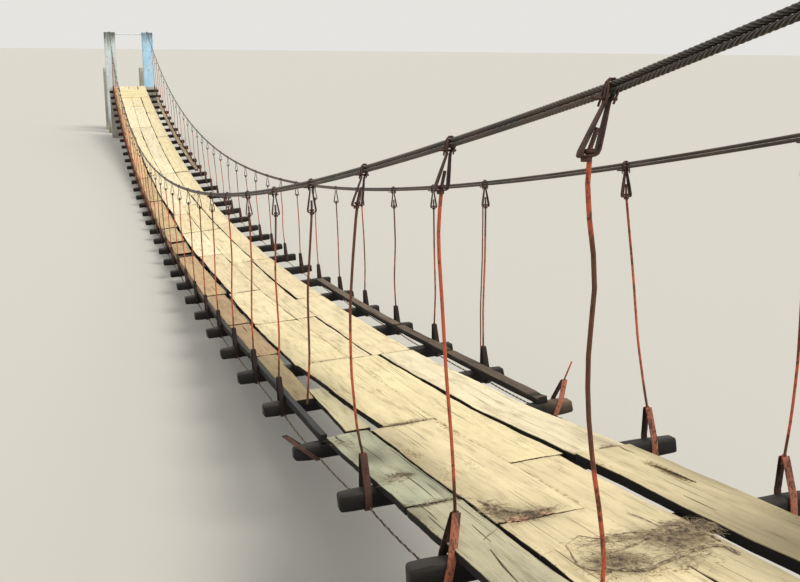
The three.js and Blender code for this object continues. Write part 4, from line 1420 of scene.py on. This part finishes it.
class BRIDGE_OT_gateways(bpy.types.Operator):
    """Cast the four painted posts and set the pipe between each pair"""
    bl_idname = "bridge.gateways"
    bl_label = "Gateway posts"

    def execute(self, context):
        settings = context.scene.bridge_masonry
        blue = weathered_paint("mildewed_blue_limewash", tuple(settings.paint), POST_TOP, 0.5)
        grey = weathered_paint("mildewed_grey_limewash", linear("#b9c1bd"), POST_TOP, 0.55)
        pipe_paint = weathered_paint("chalky_pipe_paint", linear("#ccd6de"), POST_TOP, 0.0)
        for end, bank in BANKS:
            for side, hand in HANDS:
                post = self.post(end, side, settings.post_width / 2)
                smooth(dress(post, grey if side == LEFT else blue), 40)
                gather(f"{bank}_{hand}_painted_post", [post], [f"{bank}_{hand}_post"])
            self.pipe(bank, end, pipe_paint)
        return {"FINISHED"}

    def post(self, end, side, half):
        """A post that is cast a little out of true, with chips off its corners, and never over its size."""
        middle = np.array([end * POST_X, rope_point(POST_X, side)[1]])
        low, high = (*(middle - half), 0), (*(middle + half), POST_TOP)
        post = worn_box("post", low, high, POST_EDGE, {2: 60, 0: 6, 1: 6}, 3)
        co = points(post)
        seed = int(end * 5 + side * 2 + 20)
        co += roughen(co, seed, 0.004, 0.5) * [1, 1, 0] + roughen(co, seed + 1, 0.0016, 0.12) * [1, 1, 0]
        corner = np.abs(co[:, :2] - middle).min(axis=1) / half
        chip = np.maximum(0, roughen(co, seed + 2, CHIP_DEPTH, 0.16)[:, 0] - CHIP_FROM)
        chip *= corner > CHIP_CORNER
        co[:, :2] -= (co[:, :2] - middle) / half * chip[:, None]
        co[:, :2] = np.clip(co[:, :2], middle - half, middle + half)
        move_points(post, co)
        return post

    def pipe(self, bank, end, material):
        """A pipe that sags a little between a flange on each post."""
        low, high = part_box(f"{bank}_lintel_pipe")
        x, z = end * POST_X, (low.z + high.z) / 2
        pipe = bar("pipe", PIPE_RINGS, 20)
        share = np.linspace(0, 1, PIPE_RINGS)
        y, sag = low.y + share * (high.y - low.y), PIPE_SAG * np.sin(share * math.pi)
        line = np.stack([np.full(PIPE_RINGS, x), y, z - sag], axis=1)
        parts = [drawn(pipe, line, PIPE_RADIUS, material)]
        for y, way in ((low.y, 1), (high.y, -1)):
            flange = [(x, y, z), (x, y + way * FLANGE_DEPTH, z)]
            parts.append(drawn(pipe, flange, FLANGE_RADIUS, material))
        remove(pipe)
        smooth(gather(f"{bank}_gateway_pipe", parts, [f"{bank}_lintel_pipe"]), 40)


# The bolt of a rope grip, over both ropes: across and up. Three grips clamp each pair
GRIP_LINE = [(0.0125, -0.026), (0.0125, 0.008), (0.009, 0.017), (0, 0.0205), (-0.009, 0.017),
             (-0.0125, 0.008), (-0.0125, -0.026)]
GRIPS, FIRST_GRIP, GRIP_STEP = 3, 0.10, 0.09
# A grip's two bolts stand this far to both sides of its middle, and its plate this far under the ropes
BOLT_SHIFT, BOLT_RADIUS = 0.012, 0.004
PLATE_DROP, PLATE_REACH, PLATE_RADIUS = 0.019, 0.02, 0.007
# How much is cut off an anchor's outer top edge, and off every edge of a block
ANCHOR_SLOPE, BLOCK_CHAMFER = 0.13, 0.012


class BRIDGE_OT_anchors(bpy.types.Operator):
    """Cast the rope anchors with their grips, and the abutments that carry the deck's ends"""
    bl_idname = "bridge.anchors"
    bl_label = "Anchors and abutments"

    def execute(self, context):
        concrete = cast_concrete("board_marked_concrete", tuple(context.scene.bridge_masonry.concrete))
        brown = strap_steel(context.scene.bridge_steel)
        for end, bank in BANKS:
            for side, hand in HANDS:
                node = f"{bank}_{hand}_anchor"
                low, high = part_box(node)
                block = box("anchor", low, high)
                edge_x = low.x if end > 0 else high.x

                def sloped(a, b):
                    on_edge = [(np.abs(p[:, 0] - edge_x) < 1e-4) & (p[:, 2] > high.z - 1e-4) for p in (a, b)]
                    return on_edge[0] & on_edge[1]
                round_edges(block, ANCHOR_SLOPE, 1, sloped)
                self.weather(block, concrete, int(end * 3 + side + 50))
                gather(f"{node}_block", [block], [node])
                self.grips(end, side, bank, hand, brown)
            node = f"{bank}_abutment"
            block = box("abutment", *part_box(node))
            corners = points(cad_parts[node])
            gaps = (corners[None] - points(block)[:, None]) * [1, 1, 0.2]
            move_points(block, corners[np.linalg.norm(gaps, axis=2).argmin(axis=1)])
            self.weather(block, concrete, int(end + 80))
            gather(f"{node}_block", [block], [node])
        return {"FINISHED"}

    def weather(self, block, material, seed):
        """Chamfers, divides and dents a block, without letting it grow."""
        low, high = points(block).min(axis=0), points(block).max(axis=0)
        round_edges(block, BLOCK_CHAMFER)
        edit_all(block, lambda: bpy.ops.mesh.subdivide(number_cuts=8))
        co = points(block)
        co += roughen(co, seed, 0.006, 0.35) + roughen(co, seed + 1, 0.002, 0.09)
        move_points(block, np.clip(co, low, high))
        smooth(dress(block, material), 35)

    def grips(self, end, side, bank, hand, material):
        """The wire rope grips that clamp the pair of ropes just short of its anchor."""
        route = rope_route(side)[0][::end]
        back, across = unit(route[-2] - route[-1]), np.array([0.0, 1.0, 0.0])
        lift = np.cross(back, across)
        lift *= np.sign(lift[2])
        bolt = bar("grip", 20, 8)
        parts = []
        for k in range(GRIPS):
            centre = route[-1] + back * (FIRST_GRIP + GRIP_STEP * k)
            for shift in (-BOLT_SHIFT, BOLT_SHIFT):
                line = [centre + back * shift + across * u + lift * w for u, w in GRIP_LINE]
                parts.append(drawn(bolt, line, BOLT_RADIUS, material, 0.1))
            plate = [centre - lift * PLATE_DROP + across * reach for reach in (-PLATE_REACH, PLATE_REACH)]
            parts.append(drawn(bolt, plate, PLATE_RADIUS, material, 0.0))
        remove(bolt)
        smooth(gather(f"{bank}_{hand}_rope_grips", parts), 40)


# Loose fibre on the boards: centre x and y, half sizes, how many strands
MATS = [
    (-14.69, 0.25, 0.035, 0.09, 190), (-14.60, 0.33, 0.09, 0.025, 150), (-15.06, -0.15, 0.05, 0.07, 470),
    (-15.13, -0.04, 0.10, 0.10, 420), (-15.21, 0.21, 0.09, 0.08, 330), (-15.04, 0.12, 0.04, 0.14, 170),
    (-15.27, 0.03, 0.05, 0.13, 90), (-14.02, 0.51, 0.05, 0.05, 70), (-13.12, 0.19, 0.02, 0.13, 60),
    (-14.39, 0.48, 0.02, 0.09, 50), (-14.08, -0.42, 0.015, 0.05, 30), (-13.30, 0.555, 0.08, 0.02, 50),
    (-11.43, 0.22, 0.02, 0.11, 40),
]

# Bark chips among the fibre: centre x and y, half sizes, how many
CHIPS = [(-14.71, 0.30, 0.03, 0.07, 34), (-14.70, 0.21, 0.015, 0.05, 14), (-15.19, 0.18, 0.03, 0.04, 8),
         (-13.3, 0.05, 0.1, 0.02, 10)]

# Stretches of the centre lane's long seam that are packed with sand: near end, far end, y
SANDED_SEAMS = [
    (-14.95, -14.07, 0.0392), (-14.04, -13.16, 0.0385), (-13.11, -11.5, 0.0395), (-11.42, -9.8, 0.0415)]

# How long, wide and high a crumb may be, before its place's own scale
CRUMB_SIZES = (0.002, 0.008), (0.0015, 0.0045), (0.001, 0.0025)
# A fibre's points, and how far apart they may be, how high its middle may rise and how thick it may be
FIBRE_POINTS, FIBRE_STEP, FIBRE_RISE, FIBRE_RADIUS = 9, (0.004, 0.010), (0.001, 0.007), (0.00022, 0.0006)
# How far to both sides sand fills a seam, and how far its bottom and top are under the boards' tops
SAND_REACH, SAND_BOTTOM, SAND_TOP = 0.008, 0.012, 0.0026

# Root-like strands that frame the mats: how thick, then points on the deck
ROOTS = [
    (0.0075, [(-15.14, 0.185), (-15.12, 0.095), (-15.07, 0.0), (-15.06, -0.055), (-15.045, -0.12),
              (-15.02, -0.17)]),
    (0.0090, [(-15.25, 0.26), (-15.29, 0.225), (-15.31, 0.195), (-15.315, 0.155), (-15.285, 0.09),
              (-15.27, 0.04), (-15.245, -0.025), (-15.23, -0.105), (-15.25, -0.14), (-15.33, -0.137)]),
    (0.0055, [(-15.025, 0.28), (-15.11, 0.305), (-15.19, 0.325), (-15.24, 0.31), (-15.28, 0.264)]),
    (0.0045, [(-15.025, 0.28), (-14.965, 0.205), (-15.02, 0.165), (-15.01, 0.11), (-15.02, 0.03),
              (-15.05, -0.06)]),
    (0.0055, [(-15.05, -0.06), (-15.03, -0.12), (-15.035, -0.165), (-15.12, -0.16), (-15.21, -0.155)]),
    (0.0025, [(-14.84, -0.05), (-14.925, -0.065), (-15.0, -0.067), (-15.03, -0.12)]),
    (0.0080, [(-14.46, 0.344), (-14.55, 0.335), (-14.6, 0.324), (-14.665, 0.277), (-14.665, 0.2),
              (-14.675, 0.14)]),
]


class BRIDGE_OT_fibres(bpy.types.Operator):
    """Mat loose dry fibre over the worn places of the near boards"""
    bl_idname = "bridge.fibres"
    bl_label = "Loose fibre"

    def execute(self, context):
        top = DECK_BEARING + context.scene.bridge_timber.board_thickness
        husk = dry_fibre("matted_husk_fibre", "#695b4c", "#b3a284")
        bark = dry_fibre("broken_bark_chips", "#7d5642", "#cfa283")
        dice = random.Random(77)
        parts = self.mats(dice, top, husk) + self.roots(top, husk) + self.crumbs(dice, top, husk, bark)
        gather("loose_deck_fibre", parts + self.sand(top))
        return {"FINISHED"}

    def mats(self, dice, top, material):
        """Fine curled strands, strewn thickest in the middle of each mat."""
        strand = bar("strand", 8, 3)
        made = []
        for x, y, half_x, half_y, count in MATS:
            for _ in range(count):
                here = np.array([x + dice.gauss(0, 0.55) * half_x, y + dice.gauss(0, 0.55) * half_y])
                heading, curl = dice.uniform(0, 2 * math.pi), dice.uniform(-14, 14)
                rise, step = dice.uniform(*FIBRE_RISE), dice.uniform(*FIBRE_STEP)
                line = []
                for k in range(FIBRE_POINTS):
                    arch = math.sin(k / (FIBRE_POINTS - 1) * math.pi)
                    line.append((*here, top + FIBRE_RADIUS[1] + rise * arch))
                    heading += curl * step + dice.uniform(-0.35, 0.35)
                    here = here + step * np.array([math.cos(heading), math.sin(heading)])
                made.append(drawn(strand, on_deck(np.array(line)), dice.uniform(*FIBRE_RADIUS), material))
        remove(strand)
        return made

    def roots(self, top, material):
        """Three strands twisted round each line."""
        root = bar("root", 40, 5)
        made = []
        for thick, line in ROOTS:
            share, knots = np.linspace(0, 1, 40), np.linspace(0, 1, len(line))
            x, y = (np.interp(share, knots, values) for values in zip(*line))
            for start in (0, 2, 4):
                turn = start + np.linspace(0, 26, 40)
                twisted = np.stack([x + thick * 0.5 * np.cos(turn), y + thick * 0.5 * np.sin(turn * 0.7),
                                    top + thick * (0.45 + 0.2 * np.sin(turn))], axis=1)
                made.append(drawn(root, on_deck(twisted), thick * 0.3, material))
        remove(root)
        return made

    def crumbs(self, dice, top, husk, bark):
        """Lumps of dirt and splinters, a few millimetres across, in the same places as the fibre."""
        deselect()
        bpy.ops.mesh.primitive_ico_sphere_add(subdivisions=1, radius=1)
        lump = bpy.context.object
        move_points(lump, points(lump) * (1 + roughen(points(lump), 5, 0.35, 1.2)[:, :1]))
        made = []
        places = [(*mat[:4], mat[4] // 4, 1.0, husk) for mat in MATS] + [(*chip, 1.9, bark) for chip in CHIPS]
        for x, y, half_x, half_y, count, scale, material in places:
            for _ in range(count):
                centre = np.array([x + dice.gauss(0, 0.5) * half_x, y + dice.gauss(0, 0.5) * half_y, top])
                size = np.array([dice.uniform(*span) for span in CRUMB_SIZES]) * [scale, scale, 1]
                turn = np.array(Matrix.Rotation(dice.uniform(0, 3.14), 3, "Z"))
                made.append(dress(copy_of(lump, lambda co: on_deck(co * size @ turn.T + centre)), material))
        remove(lump)
        return made

    def sand(self, top):
        """Strips of sand that fill the long seam to just under the boards' tops."""
        material = dry_fibre("packed_seam_sand", "#a8966f", "#dccba0")
        made = []
        for k, (x0, x1, y) in enumerate(SANDED_SEAMS):
            strip = box("sand", (x0, y - SAND_REACH, top - SAND_BOTTOM), (x1, y + SAND_REACH, top - SAND_TOP))
            divide(strip, 0, int((x1 - x0) / 0.04))
            co = points(strip)
            co[:, 1] += ripple(k, (0.0012, 0.23), (0.0008, 0.09))(co[:, 0])
            uneven = ripple(k + 9, (0.0009, 0.31), (0.0006, 0.12))(co[:, 0])
            co[:, 2] += np.where(co[:, 2] > top - (SAND_BOTTOM + SAND_TOP) / 2, uneven, 0)
            move_points(strip, on_deck(co))
            made.append(dress(strip, material))
        return made


# The walker's eye: its place, and its turn to the right, down and sideways
EYE_PLACE = (-17.589, 1.669, 2.88)
EYE_YAW, EYE_PITCH, EYE_ROLL = 0.3074, 0.2388, 0.0098
# Each sun: name, strength, turn round X and Z in degrees, and how wide it looks in degrees
SUNS = [("key", 2.3, 38, -60, 28), ("fill", 0.4, 55, 120, 60)]
FLOOR_RADIUS = 900


class BRIDGE_OT_stage(bpy.types.Operator):
    """Set the pale floor, the soft light and the camera by the near left post"""
    bl_idname = "bridge.stage"
    bl_label = "Floor, light and camera"

    def execute(self, context):
        settings = context.scene.bridge_stage
        deselect()
        bpy.ops.mesh.primitive_circle_add(
            vertices=96, radius=FLOOR_RADIUS, fill_type="NGON", location=(0, 0, -0.001))
        floor = bpy.context.object
        floor.name = "pale_floor"
        bpy.ops.object.transform_apply(location=True, rotation=True, scale=True)
        dress(floor, floor_paint("matt_studio_floor", tuple(settings.floor)))
        self.light(context)
        self.camera(context, settings.lens)
        return {"FINISHED"}

    def light(self, context):
        context.scene.view_settings.view_transform = "Standard"
        world = bpy.data.worlds.new("soft_sky")
        context.scene.world = world
        world.use_nodes = True
        tree = world.node_tree
        tree.nodes.clear()
        shade = add(tree, "Background", {"Color": linear("#f6f5f1"), "Strength": 0.85})
        add(tree, "OutputWorld", {"Surface": shade})
        for name, energy, tilt, heading, spread in SUNS:
            lamp = bpy.data.lights.new(name, "SUN")
            lamp.energy = energy
            lamp.angle = math.radians(spread)
            lamp.color = linear("#fffaf0")[:3]
            placed = bpy.data.objects.new(name, lamp)
            placed.rotation_euler = (math.radians(tilt), 0, math.radians(heading))
            context.scene.collection.objects.link(placed)

    def camera(self, context, lens):
        eye = bpy.data.cameras.new("walker_view")
        eye.lens, eye.sensor_width, eye.clip_start, eye.clip_end = lens, 36, 0.05, 2000
        placed = bpy.data.objects.new("walker_view", eye)
        context.scene.collection.objects.link(placed)
        ahead = math.cos(EYE_PITCH)
        forward = Vector((math.cos(EYE_YAW) * ahead, -math.sin(EYE_YAW) * ahead, -math.sin(EYE_PITCH)))
        level = Vector((-math.sin(EYE_YAW), -math.cos(EYE_YAW), 0))
        up = level.cross(forward)
        right = math.cos(EYE_ROLL) * level + math.sin(EYE_ROLL) * up
        up = -math.sin(EYE_ROLL) * level + math.cos(EYE_ROLL) * up
        turn = Matrix((right, up, -forward)).transposed().to_4x4()
        placed.matrix_world = Matrix.Translation(EYE_PLACE) @ turn
        context.scene.camera = placed


class BRIDGE_PT_panel(bpy.types.Panel):
    """Lists the bridge's makers and their sizes"""
    bl_label = "Footbridge"
    bl_idname = "BRIDGE_PT_panel"
    bl_space_type = "VIEW_3D"
    bl_region_type = "UI"
    bl_category = "Footbridge"

    def draw(self, context):
        for operator in OPERATORS:
            self.layout.operator(operator.bl_idname)
        for group in SETTINGS:
            values = getattr(context.scene, group)
            for name in values.__annotations__:
                self.layout.prop(values, name)


SETTINGS = {
    "bridge_timber": TimberSettings, "bridge_steel": SteelSettings, "bridge_rope": RopeSettings,
    "bridge_masonry": MasonrySettings, "bridge_stage": StageSettings,
}
OPERATORS = (
    BRIDGE_OT_transoms, BRIDGE_OT_boards, BRIDGE_OT_kerbs, BRIDGE_OT_ropes, BRIDGE_OT_hangers,
    BRIDGE_OT_wires, BRIDGE_OT_gateways, BRIDGE_OT_anchors, BRIDGE_OT_fibres, BRIDGE_OT_stage,
)
CLASSES = (*SETTINGS.values(), *OPERATORS, BRIDGE_PT_panel)


def register():
    for cls in CLASSES:
        bpy.utils.register_class(cls)
    for name, group in SETTINGS.items():
        setattr(bpy.types.Scene, name, bpy.props.PointerProperty(type=group))


def unregister():
    for name in SETTINGS:
        delattr(bpy.types.Scene, name)
    for cls in reversed(CLASSES):
        bpy.utils.unregister_class(cls)


def main():
    register()
    for operator in OPERATORS:
        family, name = operator.bl_idname.split(".")
        getattr(getattr(bpy.ops, family), name)()
    deselect()


if __name__ == "__main__":
    main()
